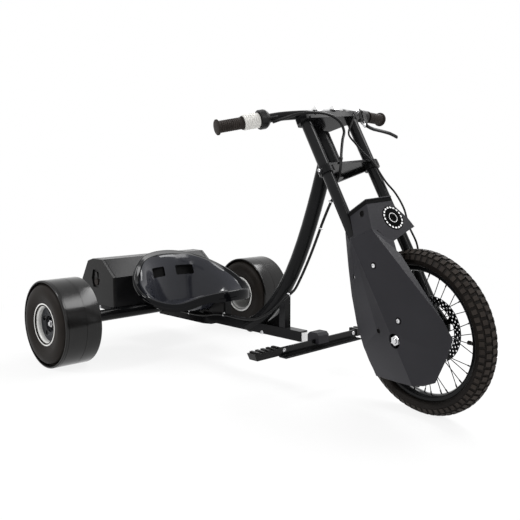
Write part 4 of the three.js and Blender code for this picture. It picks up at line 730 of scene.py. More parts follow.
def soften(piece, width, angle=35.0):
    """Rounds a piece's sharp edges."""
    edges = piece.modifiers.new("soft edges", "BEVEL")
    edges.width = width
    edges.segments = 2
    edges.limit_method = "ANGLE"
    edges.angle_limit = math.radians(angle)
    edges.harden_normals = True
    edges.use_clamp_overlap = True


def carve(piece, forms, place):
    """Cuts forms out of a piece's mesh."""
    for form in forms:
        cutter = linked("cutter", mesh_of("cutter", form, place))
        cut = piece.modifiers.new("cut", "BOOLEAN")
        cut.operation = "DIFFERENCE"
        cut.solver = "EXACT"
        cut.object = cutter
        made = mesh_with_modifiers(piece)
        piece.modifiers.remove(cut)
        piece.data = made
        bpy.data.objects.remove(cutter)
    smoothed(piece.data, CREASE)


def refinished(mesh, finish):
    """Gives a node's mesh its finish, and frees it of stored normals."""
    mesh.materials.clear()
    mesh.materials.append(FINISHES[finish])
    stored = mesh.attributes.get("custom_normal")
    if stored is not None:
        mesh.attributes.remove(stored)


def dress(node, finish, edge):
    """Gives a node of the frame its finish and softly rounded edges."""
    piece = frame["nodes"][node]
    refinished(piece.data, finish)
    smoothed(piece.data)
    weld = piece.modifiers.new("weld", "WELD")
    weld.merge_threshold = SAME_PLACE
    soften(piece, bpy.context.scene.trike_sizes.edge_softness if edge is None else edge, CREASE)


def copy_of(node, name, finish, body, slot):
    """A piece with a node's own shape, ready to be carved, that stands for the node."""
    mesh = frame["nodes"][node].data.copy()
    refinished(mesh, finish)

    def joined(work):
        bmesh.ops.remove_doubles(work, verts=work.verts, dist=SAME_PLACE)
        bmesh.ops.dissolve_limit(work, angle_limit=FLAT_ENOUGH, verts=work.verts, edges=work.edges)

    reworked(mesh, joined)
    return set_on_body(name, mesh, body, slot, [node])


class MakeFinishes(bpy.types.Operator):
    """Make every finish of the trike"""

    bl_idname = "trike.finishes"
    bl_label = "Finishes"

    def execute(self, context):
        make_finishes(context.scene.trike_colours)
        return {"FINISHED"}


# Finish, width of the rounded edges in metres where it isn't the usual one, and nodes
DRESSED = (
    ("satin paint", None, ("main_frame", "lower_crown", "upper_crown", "motor_plate", "brake_caliper")),
    ("gloss paint", None, ("fork_leg_left", "fork_leg_right", "footrest_bar")),
    ("box paint", 0.0016, ("battery_case",)),
    ("black plastic", 0.006, ("battery_end_cap_right", "battery_end_cap_left")),
    ("black plastic", 0.0004, ("power_switch",)),
    ("black plastic", 0.0008, ("foot_peg_right", "foot_peg_left")),
    ("black plastic", 0.0012, ("throttle_housing", "brake_lever_bracket")),
    ("cover plastic", 0.0012, ("footrest_clamp",)),
    ("grip", 0.0005, ("charge_port_cap",)),
    ("battery", None, ("battery_pack",)),
    ("aluminium", None, ("motor_controller", "footrest_slider")),
    ("cast aluminium", 0.0012, ("bar_clamp_right", "bar_clamp_left")),
    ("steel", 0.0005, ("rear_axle", "rear_axle_nut_right", "rear_axle_nut_left", "rear_bearing_set_right",
                       "rear_bearing_set_left", "front_bearing_set", "front_axle", "front_axle_nut",
                       "caliper_arm")),
    ("dark steel", None, ("headset_upper", "headset_lower")),
    ("dark steel", 0.0003, ("wheel_sprocket",)),
    ("chain steel", 0.0002, ("motor_sprocket",)),
    ("black steel", 0.0012, ("brake_lever",)),
    ("motor", 0.0008, ("drive_motor",)),
)


class DressFrame(bpy.types.Operator):
    """Finish the frame, fork, box and footrest nodes"""

    bl_idname = "trike.dress_frame"
    bl_label = "Frame and fork finishes"

    def execute(self, context):
        for finish, edge, nodes in DRESSED:
            for node in nodes:
                dress(node, finish, edge)
        return {"FINISHED"}


# Rear wheels


SLEEVE_RADIUS = 127.0
SLEEVE_HALF = 54.5
SLEEVE_THICK = 5.0
SLEEVE_EDGE = 3.2
SLEEVE_REACH = 3.5
# Place along the axle, half width and depth of each groove
SLEEVE_SEAMS = ((-6.0, 0.7, 0.7), (46.5, 0.9, 0.9))
RIM_SHRINK = 3.6
RIM_SINK = -3.0
BEAD_RADIUS = 66.4
BARREL_RADIUS = 54.0
RIM_SEAT = 57.5
RIM_OUT = SLEEVE_HALF + 5.2
# Radius, and place along the axle from the rim's outer plane
RIM_LIP = (
    (RIM_SEAT, -4.2), (63.4, -4.0), (65.4, -3.0), (66.0, -1.4), (65.2, -0.2), (63.4, 0.3), (61.4, -0.2),
    (60.2, -1.6), (59.2, -3.4), (58.0, -5.6), (55.6, -6.4), (54.4, -8.5), (BARREL_RADIUS, -14.0),
)
DISC_OUT = SLEEVE_HALF - 14.0
DISC_PROFILE = (
    (14.0, -30.0), (21.0, -30.0), (21.0, DISC_OUT - 5.5), (24.0, DISC_OUT - 4.0), (46.0, DISC_OUT - 4.0),
    (50.6, DISC_OUT - 6.0), (50.6, DISC_OUT + 1.5), (48.0, DISC_OUT + 1.0), (46.0, DISC_OUT),
    (27.0, DISC_OUT), (23.5, DISC_OUT + 1.0), (21.0, 30.0), (14.0, 30.0),
)
DISC_HOLES = 5
DISC_HOLE_CIRCLE = 36.0
DISC_HOLE_RADIUS = 6.5
SEAL_PROFILE = ((8.0, 30.2), (13.2, 30.2), (13.6, 30.8), (13.2, 31.4), (11.5, 31.2), (8.0, 31.2))


def sleeve_profile():
    """Hard sleeve's section, inboard to outboard: rounded edges, a seam and a groove by the outer edge."""
    r = SLEEVE_RADIUS
    edge = [(r - SLEEVE_THICK, -SLEEVE_HALF)]
    for k in range(6):
        angle = math.radians(90 * k / 5)
        edge.append((r - SLEEVE_EDGE + SLEEVE_EDGE * math.sin(angle),
                     -SLEEVE_HALF + SLEEVE_EDGE - SLEEVE_EDGE * math.cos(angle)))
    made = list(edge)
    for seam, wide, deep in SLEEVE_SEAMS:
        made += [(r, seam - wide), (r - deep, seam - wide / 2),
                 (r - deep, seam + wide / 2), (r, seam + wide)]
    return made + mirrored(edge)


def sidewall_half(sink):
    """One half of the inner tyre's section, its bead moved in along the axle by sink."""
    bead, high = BEAD_RADIUS - RIM_SHRINK, SLEEVE_HALF + 1.4 - sink
    half = [(121.6, SLEEVE_HALF - 12.0), (115.6, SLEEVE_HALF - 10.0)]
    half += bowed((114.8, SLEEVE_HALF - 3.0), (103.0, SLEEVE_HALF + 6.2), 1.6, 6)
    half += bowed((103.0, SLEEVE_HALF + 6.2), (80.0, SLEEVE_HALF + 6.6), 1.6, 6)
    half += bowed((80.0, SLEEVE_HALF + 6.6), (bead, high), 0.6, 4)
    return half + [(bead, high), (bead - 8.5, high), (bead - 8.5, high - 7.4), (112.0, SLEEVE_HALF - 16.0)]


def sidewall_profile():
    """Inner tyre's section from bead to bead, bulging past the sleeve's edges."""
    return sidewall_half(0.0) + mirrored(sidewall_half(RIM_SINK))


def rear_rim_profile():
    """White rim's section: a rolled lip on each side and a deep barrel between them."""
    outer = [(r - RIM_SHRINK, RIM_OUT + y) for r, y in RIM_LIP]
    inner = [(r, RIM_SINK + y) for r, y in mirrored(outer)]
    return outer + [(BARREL_RADIUS - RIM_SHRINK, -10.0)] + inner + [(RIM_SEAT - RIM_SHRINK, -20.0)]


def disc_cutters(sign):
    """Rods that cut the round holes of a hub disc."""
    near, far = sorted((sign * (DISC_OUT - 12.0), sign * (DISC_OUT + 6.0)))
    made = []
    for i in range(DISC_HOLES):
        angle = TURN * i / DISC_HOLES + 0.3
        x, z = DISC_HOLE_CIRCLE * math.cos(angle), DISC_HOLE_CIRCLE * math.sin(angle)
        made.append(rod((x, near, z), (x, far, z), DISC_HOLE_RADIUS, 24))
    return made


def rear_wheel(side, sign, place, steps):
    """One rear wheel's pieces; outward is along sign."""
    body = "rear_wheel_" + side

    def outward(profile, reach=0.0):
        return [(r, sign * (y + reach if y > 0 else y)) for r, y in profile]

    for name, profile, finish, slot, node, crease in (
            ("slider_sleeve", outward(sleeve_profile(), SLEEVE_REACH), f"{side} slider", "slider_plastic",
             "rear_slider_sleeve", 40.0),
            ("rear_tyre_sidewalls", outward(sidewall_profile(), SLEEVE_REACH), f"{side} sidewall", "tyre",
             "rear_tyre", 40.0),
            ("rear_rim_painted", outward(rear_rim_profile()), f"{side} rim", "white_paint",
             "rear_rim", 50.0)):
        make_piece(f"{name}_{side}", turned(profile, steps), place, finish, body, slot, [f"{node}_{side}"],
                   crease=crease)
    disc = make_piece(f"hub_disc_{side}", turned(outward(DISC_PROFILE), steps), place, "hub grey", body,
                      "dark_steel", [f"rear_hub_disc_{side}"])
    carve(disc, disc_cutters(sign), place)
    make_piece(f"bearing_seal_{side}", turned(outward(SEAL_PROFILE), 40), place, "grip", body, "grip")


class MakeRearWheels(bpy.types.Operator):
    """Make both rear wheels: sleeves, tyres, rims and hub discs"""

    bl_idname = "trike.rear_wheels"
    bl_label = "Rear wheels"

    def execute(self, context):
        steps = context.scene.trike_sizes.round_steps
        rear_wheel("right", -1, REAR_RIGHT, steps)
        rear_wheel("left", 1, REAR_LEFT, steps)
        return {"FINISHED"}


# Front wheel


TYRE_RADIUS = 192.3
TYRE_HALF = 25.0
BLOCK_HEIGHT = 3.4
BLOCK_SLOPE = 0.014
# Places round one pitch where the section changes
TREAD_STEPS = (0.0, 0.06, 0.16, 0.22, 0.5, 0.56, 0.66, 0.72)
# Start and end across the tread as shares, and the phase of the row's blocks
TREAD_ROWS = ((-1.0, -0.66, 0), (-0.57, -0.25, 1), (-0.17, 0.17, 0), (0.25, 0.57, 1), (0.66, 1.0, 0))


def tyre_form(pitches):
    """Front tyre: rounded carcass, five rows of blocks set half a pitch apart, ringed sidewalls."""
    centre = TYRE_RADIUS - TYRE_HALF
    crown = TYRE_RADIUS - BLOCK_HEIGHT - centre

    def at(share, lift):
        angle = share * math.radians(80)
        return (centre + (crown + lift) * math.cos(angle), (TYRE_HALF + lift / 2) * math.sin(angle))

    sidewall = [(166.0, 25.2), (162.0, 24.0), (158.5, 21.0), (157.0, 17.5), (157.2, 15.5)]
    inside = [(151.0, -11.6), (166.0, -18.0), (182.0, -8.0)]

    def raised(phase, step):
        if phase == 0:
            return 0.06 <= step <= 0.66
        return step >= 0.56 or step <= 0.16

    rings = []
    tops = []
    for pitch in range(pitches):
        for step in TREAD_STEPS:
            angle = TURN * (pitch + step) / pitches
            ring = []
            for low, high, phase in TREAD_ROWS:
                lift = BLOCK_HEIGHT if raised(phase, step) else 0.0
                ring += [at(low - BLOCK_SLOPE, 0.0), at(low + BLOCK_SLOPE, lift),
                         at(high - BLOCK_SLOPE, lift), at(high + BLOCK_SLOPE, 0.0)]
                tops += [False, lift > 0, lift > 0, False]
            ring += sidewall + inside + mirrored(inside) + mirrored(sidewall)
            tops += [False] * (len(ring) - 4 * len(TREAD_ROWS))
            rings.append([(r * math.cos(angle), y, r * math.sin(angle)) for r, y in ring])
    form = Form().loft(rings, looped=True)
    # Block tops take mark 1, the painted highlight rubber; grooves and sidewalls take mark 0, the painted
    # shade rubber.
    form.marks = [1 if all(tops[i] for i in face) else 0 for face in form.faces]
    return form


def front_rim_form(steps):
    """Front rim: two lips over a shallow well."""
    half = [
        (143.2, 5.5), (144.0, 7.5), (146.4, 13.6), (148.6, 15.2), (153.0, 15.5), (155.4, 15.0),
        (156.2, 13.8), (155.6, 12.4), (152.0, 12.0), (148.0, 11.0), (147.0, 6.0),
    ]
    return turned([(142.3, 0.0)] + half + [(146.2, 0.0)] + mirrored(half), steps)


SPOKES = 36
HUB_HOLE_CIRCLE = 25.0
NIPPLE_CIRCLE = 143.6
SPOKE_LEAN = math.radians(48)
HUB_HALF_PROFILE = [
    (13.0, -29.0), (17.5, -29.0), (18.5, -28.0), (18.5, -24.0), (26.4, -22.8), (27.0, -22.2), (27.0, -19.8),
    (26.4, -19.2), (18.0, -18.0), (15.0, -12.0),
]


def spoke_ends(i):
    """Hub end and rim end of one spoke. Sides alternate, and so do the leans on each side."""
    side = 1 if i % 2 == 0 else -1
    lean = 1 if i % 4 < 2 else -1
    half_step = math.pi / 18 if side < 0 else 0.0
    rim_angle = TURN * (i - (1 if side < 0 else 0)) / SPOKES + half_step
    hub_angle = rim_angle + lean * SPOKE_LEAN
    start = Vector((HUB_HOLE_CIRCLE * math.cos(hub_angle), side * (21.0 + lean * 2.4),
                    HUB_HOLE_CIRCLE * math.sin(hub_angle)))
    end = Vector((NIPPLE_CIRCLE * math.cos(rim_angle), side * 3.0, NIPPLE_CIRCLE * math.sin(rim_angle)))
    return start, end


def hub_form():
    """Hub shell with two flanges, the laced spokes, their heads and their nipples."""
    form = turned(HUB_HALF_PROFILE + [(14.6, 0.0)] + mirrored(HUB_HALF_PROFILE), 48)
    for i in range(SPOKES):
        start, end = spoke_ends(i)
        way = (end - start).normalized()
        for part in (rod(start, end, 1.0, 8),
                     rod(end - way * 9.0, end, 1.7, 8, 0.4),
                     rod(start - way * 2.0, start + way * 1.5, 1.9, 8, 0.6)):
            form.add(part.marked(1))
    return form


def drilled_band(inner, outer, low, high, rows, holes, hole_radius):
    """A flat ring drilled with staggered rows of round holes."""
    form = Form()
    depth = (outer - inner) / rows
    known = {}

    def point(r, angle, y):
        key = (round(r, 4), round(math.degrees(angle) % 360, 4), y)
        if key not in known:
            known[key] = len(form.points)
            form.points.append(Vector((r * math.cos(angle), y, r * math.sin(angle))))
        return known[key]

    step = TURN / holes
    for row in range(rows):
        for i in range(holes):
            mid = (i + row / 2) * step
            r0, r1 = inner + row * depth, inner + (row + 1) * depth
            rm = (r0 + r1) / 2
            cell_points = [
                (r0, mid - step / 2), (r0, mid), (r0, mid + step / 2), (rm, mid + step / 2),
                (r1, mid + step / 2), (r1, mid), (r1, mid - step / 2), (rm, mid - step / 2),
            ]
            hole_points = []
            for r, angle in cell_points:
                dr, dt = r - rm, (angle - mid) * rm
                size = math.hypot(dr, dt)
                hole_points.append((rm + hole_radius * dr / size, mid + hole_radius * dt / size / rm))
            for k in range(8):
                j = (k + 1) % 8
                for y, flip in ((low, False), (high, True)):
                    corners = [point(*cell_points[k], y), point(*cell_points[j], y),
                               point(*hole_points[j], y), point(*hole_points[k], y)]
                    form.face(reversed(corners) if flip else corners)
                form.face([point(*hole_points[k], low), point(*hole_points[j], low),
                           point(*hole_points[j], high), point(*hole_points[k], high)])
            for k in range(2):
                if row == 0:
                    form.face([point(*cell_points[k], low), point(*cell_points[k], high),
                               point(*cell_points[k + 1], high), point(*cell_points[k + 1], low)])
                if row == rows - 1:
                    form.face([point(*cell_points[4 + k], low), point(*cell_points[4 + k], high),
                               point(*cell_points[5 + k], high), point(*cell_points[5 + k], low)])
    return form


ROTOR_LOW, ROTOR_HIGH = 34.1, 35.9
ROTOR_ARMS = 5
ARM_HALF_OUTLINE = [(24.0, -9.0), (40.0, -5.5), (54.0, -6.0), (61.0, -11.0)]


def rotor_form():
    """Brake rotor: a drilled band on a spider with bolted arms and a carrier."""
    form = drilled_band(60.0, 78.6, ROTOR_LOW, ROTOR_HIGH, 3, 36, 2.2)
    outline = ARM_HALF_OUTLINE + mirrored(ARM_HALF_OUTLINE)
    for i in range(ROTOR_ARMS):
        angle = TURN * i / ROTOR_ARMS
        ahead = Vector((math.cos(angle), 0, math.sin(angle)))
        side = Vector((-math.sin(angle), 0, math.cos(angle)))
        form.loft([[ahead * r + side * s + Vector((0, y, 0)) for r, s in outline]
                   for y in (ROTOR_LOW + 0.1, ROTOR_HIGH - 0.1)])
        foot, head = (ahead * 20.0 + Vector((0, ROTOR_HIGH + y, 0)) for y in (-0.2, 2.6))
        form.add(rod(foot, head, 3.4, 6, 0.5))
    return form.add(turned([(13.0, 29.3), (27.0, 29.3), (27.0, ROTOR_HIGH), (13.0, ROTOR_HIGH)], 48))


VALVE_ROOT = 143.5
VALVE_TURN = math.radians(-29.0)
# Reach in from the rim, and radius
VALVE_STEM = ((-1.0, 5.4), (1.0, 5.2), (4.0, 4.4), (8.0, 3.6), (12.0, 3.4))
VALVE_CAP = ((12.0, 4.2), (13.0, 4.7), (19.0, 4.5), (20.0, 3.4))


def tyre_valve_form():
    """Rubber valve stem with its cap, at the rim's inner side."""
    ahead = Vector((math.cos(VALVE_TURN), 0, math.sin(VALVE_TURN)))
    outline = circle(1.0, 14)
    form = Form()
    for part in (VALVE_STEM, VALVE_CAP):
        reaches, radii = zip(*part)
        path = [ahead * (VALVE_ROOT - reach) for reach in reaches]
        form.add(swept(path, lambda i: [(a * radii[i], b * radii[i]) for a, b in outline]))
    return form


class MakeFrontWheel(bpy.types.Operator):
    """Make the front tyre, rim, hub with spokes, rotor and valve"""

    bl_idname = "trike.front_wheel"
    bl_label = "Front wheel"

    def execute(self, context):
        sizes = context.scene.trike_sizes
        for name, form, finishes, slot, nodes, crease in (
                ("knobbly_front_tyre", tyre_form(sizes.tread_pitches), ["carcass", "tread"], "tyre",
                 ["front_tyre"], 28.0),
                ("front_rim_painted", front_rim_form(sizes.round_steps), "gloss paint", "black_paint",
                 ["front_rim"], 40.0),
                ("laced_front_hub", hub_form(), ["dark steel", "black steel"], "dark_steel", ["front_hub"],
                 CREASE),
                ("drilled_brake_rotor", rotor_form(), "dark steel", "dark_steel", ["brake_rotor"], CREASE),
                ("tyre_valve", tyre_valve_form(), "grip", "grip", [], CREASE)):
            make_piece(name, form, FRONT_WHEEL, finishes, "front_wheel", slot, nodes, crease)
        return {"FINISHED"}


# Chain


CHAIN_PITCH = 8.0
WHEEL_TEETH = 44
MOTOR_TEETH = 9
CHAIN_Y = -45.0
MOTOR_AHEAD = 35.0
MOTOR_HIGH = 271.0


def pitch_radius(teeth):
    """Radius of the circle that a sprocket's link places stand on."""
    return CHAIN_PITCH / (2 * math.sin(math.pi / teeth))


def chain_places():
    """Place and heading of every link round both sprockets."""
    wheel_r, motor_r = pitch_radius(WHEEL_TEETH), pitch_radius(MOTOR_TEETH)
    centre = Vector((MOTOR_AHEAD, MOTOR_HIGH))
    distance = centre.length
    towards = math.atan2(centre.y, centre.x)
    lean = math.acos((wheel_r - motor_r) / distance)
    straight = math.sqrt(distance ** 2 - (wheel_r - motor_r) ** 2)
    wrap_wheel = (TURN - 2 * lean) * wheel_r
    wrap_motor = 2 * lean * motor_r
    total = wrap_wheel + wrap_motor + 2 * straight
    links = 2 * round(total / CHAIN_PITCH / 2)
    start, low = towards + lean, towards - lean

    def on(circle_centre, r, angle):
        return Vector((circle_centre.x + r * math.cos(angle), circle_centre.y + r * math.sin(angle)))

    origin = Vector((0, 0))
    made = []
    for i in range(links):
        s = i * total / links
        if s < wrap_wheel:
            made.append(on(origin, wheel_r, start + s / wheel_r))
            continue
        s -= wrap_wheel
        if s < straight:
            made.append(on(origin, wheel_r, low).lerp(on(centre, motor_r, low), s / straight))
            continue
        s -= straight
        if s < wrap_motor:
            made.append(on(centre, motor_r, low + s / motor_r))
            continue
        s -= wrap_motor
        made.append(on(centre, motor_r, start).lerp(on(origin, wheel_r, start), s / straight))
    return made


PLATE_RADIUS = 3.3
PLATE_WAIST = 0.62
PLATE_THICK = 0.9
OUTER_GAP, INNER_GAP = 3.4, 2.3


def plate_outline(span):
    """A link's waisted side plate as [along, across] points."""
    made = []
    for start, middle, waist in ((90, 0.0, -1), (-90, span, 1)):
        for k in range(7):
            angle = math.radians(start + 180 * k / 6)
            made.append((middle + PLATE_RADIUS * math.cos(angle), PLATE_RADIUS * math.sin(angle)))
        made.append((span / 2, waist * PLATE_RADIUS * PLATE_WAIST))
    return made


def chain_form():
    """Roller chain: side plates by turns outside and inside, and a roller with its pin at each place."""
    places = chain_places()
    form = Form()
    for i, here in enumerate(places):
        there = places[(i + 1) % len(places)]
        way = (there - here).normalized()
        side = Vector((-way.y, way.x))
        outline = [here + way * a + side * b for a, b in plate_outline((there - here).length)]
        gap = OUTER_GAP if i % 2 == 0 else INNER_GAP
        for sign in (-1, 1):
            form.loft([[(p.x, CHAIN_Y + sign * reach, p.y) for p in outline]
                       for reach in (gap, gap + PLATE_THICK)])
        for half, radius, sides in ((2.2, 2.4, 12), (4.7, 1.2, 8)):
            form.add(rod((here.x, CHAIN_Y - half, here.y), (here.x, CHAIN_Y + half, here.y), radius, sides))
    return form


class MakeChain(bpy.types.Operator):
    """Make the roller chain"""

    bl_idname = "trike.chain"
    bl_label = "Drive chain"

    def execute(self, context):
        make_piece("roller_chain", chain_form(), FRONT_WHEEL, "chain steel", "steering", "dark_steel",
                   ["drive_chain"])
        return {"FINISHED"}


# Chain cover


COVER_OUT = -95.5
# Place, direction out of the face, and radius
COVER_HOLES = (((6, -76.5, 175.5), (-0.348, -0.938, 0.0), 5.6),
               ((15, -84.6, 37), (-0.251, -0.968, 0.0), 6.0),
               ((108, -81.9, 289), (0.0, -0.964, 0.265), 6.8))
COVER_SCREWS = ((92, 169), (96, 35))
RING_PLACE = (130.0, -17.0, 260.0)


# Radius past the hole's own, and height over the face
HOLE_RIM = ((0.0, -3.0), (1.5, -0.6), (1.3, 0.4), (0.7, 0.6), (0.0, 0.3))
FLAP_OUTLINE = ((-95.3, 241.4), (-72.5, 210.0), (-49.6, 178.6), (-44.6, 205.2), (-62.0, 214.0),
                (-86.0, 240.0))
LID_HEIGHT = 312.0
# Reach out, height, half thickness, half width and mark
# The first, marked 1, is a near black strip of painted shade under the bead.
LID_SEAMS = ((0.8, 306.4, 0.6, 3.9, 1), (2.0, LID_HEIGHT, 1.4, 1.1, 0))
DASHES = 18
SOCKET_SIDES = 6


def screw_form(at, way, radius=5.2):
    """A round screw head with a hexagonal socket, standing out of a face."""
    at = Vector(at)
    way = Vector(way).normalized()
    side, up = square_to(way)

    def ring(r, h, flats=False):
        made = []
        for k in range(24):
            angle = TURN * k / 24
            spread = r
            if flats:
                spread = r / math.cos(angle % (TURN / SOCKET_SIDES) - TURN / SOCKET_SIDES / 2)
            made.append(at + way * h + (side * math.cos(angle) + up * math.sin(angle)) * spread)
        return made

    return Form().loft([
        ring(radius, -0.6), ring(radius, 0.9), ring(radius * 0.93, 1.7), ring(radius * 0.7, 2.3),
        ring(radius * 0.46, 2.4, True), ring(radius * 0.42, 1.1, True),
    ])


def facing(at, way):
    """Matrix that stands a turned form's axle along a direction, at a place."""
    way = Vector(way).normalized()
    side, up = square_to(way)
    return axes(side, way, up, Vector(at))


def emblem_forms():
    """A plain ring of rounded dashes on a dark disc with a bored boss."""
    x, y, z = RING_PLACE
    marks = Form()
    for i in range(DASHES):
        angle = TURN * i / DASHES
        out = Vector((math.cos(angle), math.sin(angle)))
        across = Vector((-out.y, out.x))
        corners = [out * (25.6 + a) + across * b for a, b in rounded_outline(2.0, 2.9, 1.5, 3)]
        marks.loft([[(x + h, y + p.x, z + p.y) for p in corners] for h in (0.6, 1.2)])
    turn = Matrix(((0, 1, 0, x), (1, 0, 0, y), (0, 0, 1, z), (0, 0, 0, 1)))
    marks.add(turned([(10.6, 0.6), (11.9, 0.6), (11.9, 1.2), (10.6, 1.2)], 64), turn)
    disc = turned([(0.4, -0.3), (30.0, -0.3), (30.0, 0.5), (29.3, 0.9), (9.6, 0.9), (9.0, 2.0), (7.6, 2.6),
                   (4.4, 2.6), (4.0, 1.2), (0.4, 1.0)], 64)
    return marks, Form().add(disc, turn)


def hole_forms():
    """Cutters for the cover's round holes, their moulded rims and the dark plugs deep in them, which are
    painted shade.
    """
    cutters, rims, shade_plugs = [], Form(), Form()
    outline = circle(1.0, 28)
    for at, way, size in COVER_HOLES:
        at, way = Vector(at), Vector(way)
        cutters.append(rod(at - way * 12.0, at + way * 12.0, size + 0.1, 24))
        # Painted shade: a near black disc 2.2 to 3.4 mm down each hole.
        shade_plugs.add(rod(at - way * 3.4, at - way * 2.2, size + 0.6, 28))
        out = way.normalized()
        side, up = square_to(out)
        rims.loft([[at + out * h + (side * a + up * b) * (size + more) for a, b in outline]
                   for more, h in HOLE_RIM], looped=True)
    return cutters, rims, shade_plugs


def cover_screw_forms():
    """The cover's screws and the dark rings that they stand in, painted shadow round each screw."""
    screws, shadow_wells = Form(), Form()
    # Painted shadow: a near black ring from 5.4 to 8.2 mm round each screw head.
    shadow_well = turned([(5.4, -0.2), (8.2, -0.2), (8.0, 0.5), (5.4, 0.3)], 32)
    for ahead, high in COVER_SCREWS:
        at, way = (ahead, COVER_OUT, high), (0, -1, 0)
        screws.add(screw_form(at, way))
        shadow_wells.add(shadow_well, facing(at, way))
    return screws, shadow_wells


def lid_form():
    """The lid's bead round the cover's top, over a dark seam of painted shade."""
    form = Form()
    for reach, rise, thick, high, mark in LID_SEAMS:
        out = -76.0 - reach - (LID_HEIGHT - rise) * 0.2
        corner = [(66.5, out, rise), (130.0 + reach, out, rise), (130.0 + reach, 3.0, rise)]
        outline = rounded_outline(thick, high, 0.4, 3)
        form.add(swept(corner, lambda i: outline).marked(mark))
    return form


class MakeCover(bpy.types.Operator):
    """Make the moulded chain cover with its holes, screws and ring of dashes"""

    bl_idname = "trike.cover"
    bl_label = "Chain cover"

    def execute(self, context):
        cover = copy_of("chain_cover", "moulded_chain_cover", "cover plastic", "steering",
                        "charcoal_plastic")
        cutters, rims, shade_plugs = hole_forms()
        carve(cover, cutters, FORK)
        soften(cover, 0.0013, 14.0)
        flap = Form().loft([[(x, y, z) for y, z in FLAP_OUTLINE] for x in (128.6, 130.5)])
        screws, shadow_wells = cover_screw_forms()
        marks, disc = emblem_forms()
        for name, form, finishes, slot in (
                ("cover_hole_rims", rims, "black plastic", "charcoal_plastic"),
                ("cover_hole_shade_plugs", shade_plugs, "dark hollow", "charcoal_plastic"),
                ("cover_corner_flap", flap, "cover plastic", "charcoal_plastic"),
                ("cover_screws", screws, "steel", "steel"),
                ("cover_screw_shadow_wells", shadow_wells, "dark hollow", "charcoal_plastic"),
                ("cover_lid_seam_with_painted_shade", lid_form(), ["cover plastic", "dark hollow"], "charcoal_plastic"),
                ("cover_ring_of_dashes", marks, "pale print", "charcoal_plastic"),
                ("cover_ring_disc", disc, "dark hollow", "charcoal_plastic")):
            on_fork(name, form, finishes, slot)
        return {"FINISHED"}


# Seat


SEAT_REAR = -30.0
SEAT_LENGTH = 340.0
SEAT_HALF = 199.0
SEAT_HEIGHT = 157.0
PAN_HEIGHT = 150.0
PAN_LENGTH = 190.0
PAN_HALF = 122.0
PAN_X = 128.0
# Place out from the rim's line, and depth under it
LIP = ((-1.0, 14.0), (0.6, 12.0), (1.0, 8.0), (0.8, 4.5), (-0.4, 1.8), (-2.6, 0.1), (-5.0, -0.2),
       (-7.0, 0.8), (-8.2, 2.2), (-13.0, 6.0), (-17.6, 9.6), (-18.8, 11.0), (-19.4, 13.0))
LIP_SKIRT = 4
LIP_WIDTH = 21.5
NOSE_START, NOSE_RUN, NOSE_HANG = 280.0, 50.0, 1.1
WALL_STEPS = 20
EASINGS = 4
SLOT_Y, SLOT_Z = 51.7, 243.1
# Shares of length, half width and height, along one half of the rim's line
RIM_SHARES = ((0, 0, 1), (0.046, 0.41, 0.94), (0.193, 0.755, 0.766), (0.362, 0.987, 0.53), (0.577, 1, 0.296),
              (0.79, 0.74, 0.178), (0.96, 0.45, 0.33), (1.06, 0.26, 0.4), (1.09, 0, 0.42))
# Shares in and down from the rim to the pan
WALL_SHARES = ((0.0, 0.0), (0.12, 0.02), (0.3, 0.1), (0.62, 0.4), (0.86, 0.78), (1.0, 1.0))


def seat_rim(around):
    """Points of the seat's rim line, all round."""
    half = [Vector((SEAT_REAR + x * SEAT_LENGTH, y * SEAT_HALF, PAN_HEIGHT + z * SEAT_HEIGHT))
            for x, y, z in RIM_SHARES]
    other = [Vector((p.x, -p.y, p.z)) for p in reversed(half[1:-1])]
    return smooth_path(half + other, around // 14, closed=True)


def seat_pan(rim):
    """The pan's edge point under a rim point."""
    angle = math.atan2(rim.y / SEAT_HALF, (rim.x - PAN_X) / SEAT_LENGTH)
    return Vector((PAN_X + PAN_LENGTH / 2 * math.cos(angle), PAN_HALF * math.sin(angle), PAN_HEIGHT))


def seat_column(rim, curve):
    """Points from the rim's skirt over the lip and down the wall to the pan, under one rim point."""
    pan = seat_pan(rim)
    outward = Vector((rim.x - pan.x, rim.y - pan.y, 0)).normalized()
    hang = 1.0 + NOSE_HANG * min(max((rim.x - NOSE_START) / NOSE_RUN, 0.0), 1.0)
    column = [rim + outward * out - Vector((0, 0, down * hang if i < LIP_SKIRT else down))
              for i, (out, down) in enumerate(LIP)]
    edge = rim + outward * -9.0
    for share, drop in curve:
        p = Vector((edge.x + (pan.x - edge.x) * share, edge.y + (pan.y - edge.y) * share,
                    edge.z + (pan.z - edge.z) * drop))
        if (p - rim).dot(outward) < -LIP_WIDTH:
            column.append(p)
    return column


def seat_form(around):
    """Seat shell: rolled outer rim, a flat flange sloping inward, a rounded wall and a flat pan."""
    curve = [(p.x, p.y) for p in smooth_path([(a, b, 0) for a, b in WALL_SHARES], 4)]
    columns = [seat_column(rim, curve) for rim in seat_rim(around)]
    flange = len(LIP) - 1
    walls = [resampled(column[flange:], WALL_STEPS) for column in columns]
    rings = [[column[k] for column in columns] for k in range(len(LIP))]
    rings += [[wall[k] for wall in walls] for k in range(1, WALL_STEPS)]
    feet = [wall[-1] for wall in walls]
    for share in (0.9, 0.7, 0.4):
        rings.append([Vector((PAN_X + (p.x - PAN_X) * share, p.y * share, PAN_HEIGHT)) for p in feet])
    for i in range(EASINGS):
        rings = [eased(ring) for ring in rings]
    form = Form()
    made = [form.ring(ring) for ring in rings]
    for i in range(len(made) - 1):
        # Walls and pan take mark 1, the seat inside finish with its painted sheen.
        form.mark = 1 if i >= flange else 0
        form.bridge(made[i], made[i + 1])
    form.face(made[-1])
    return form


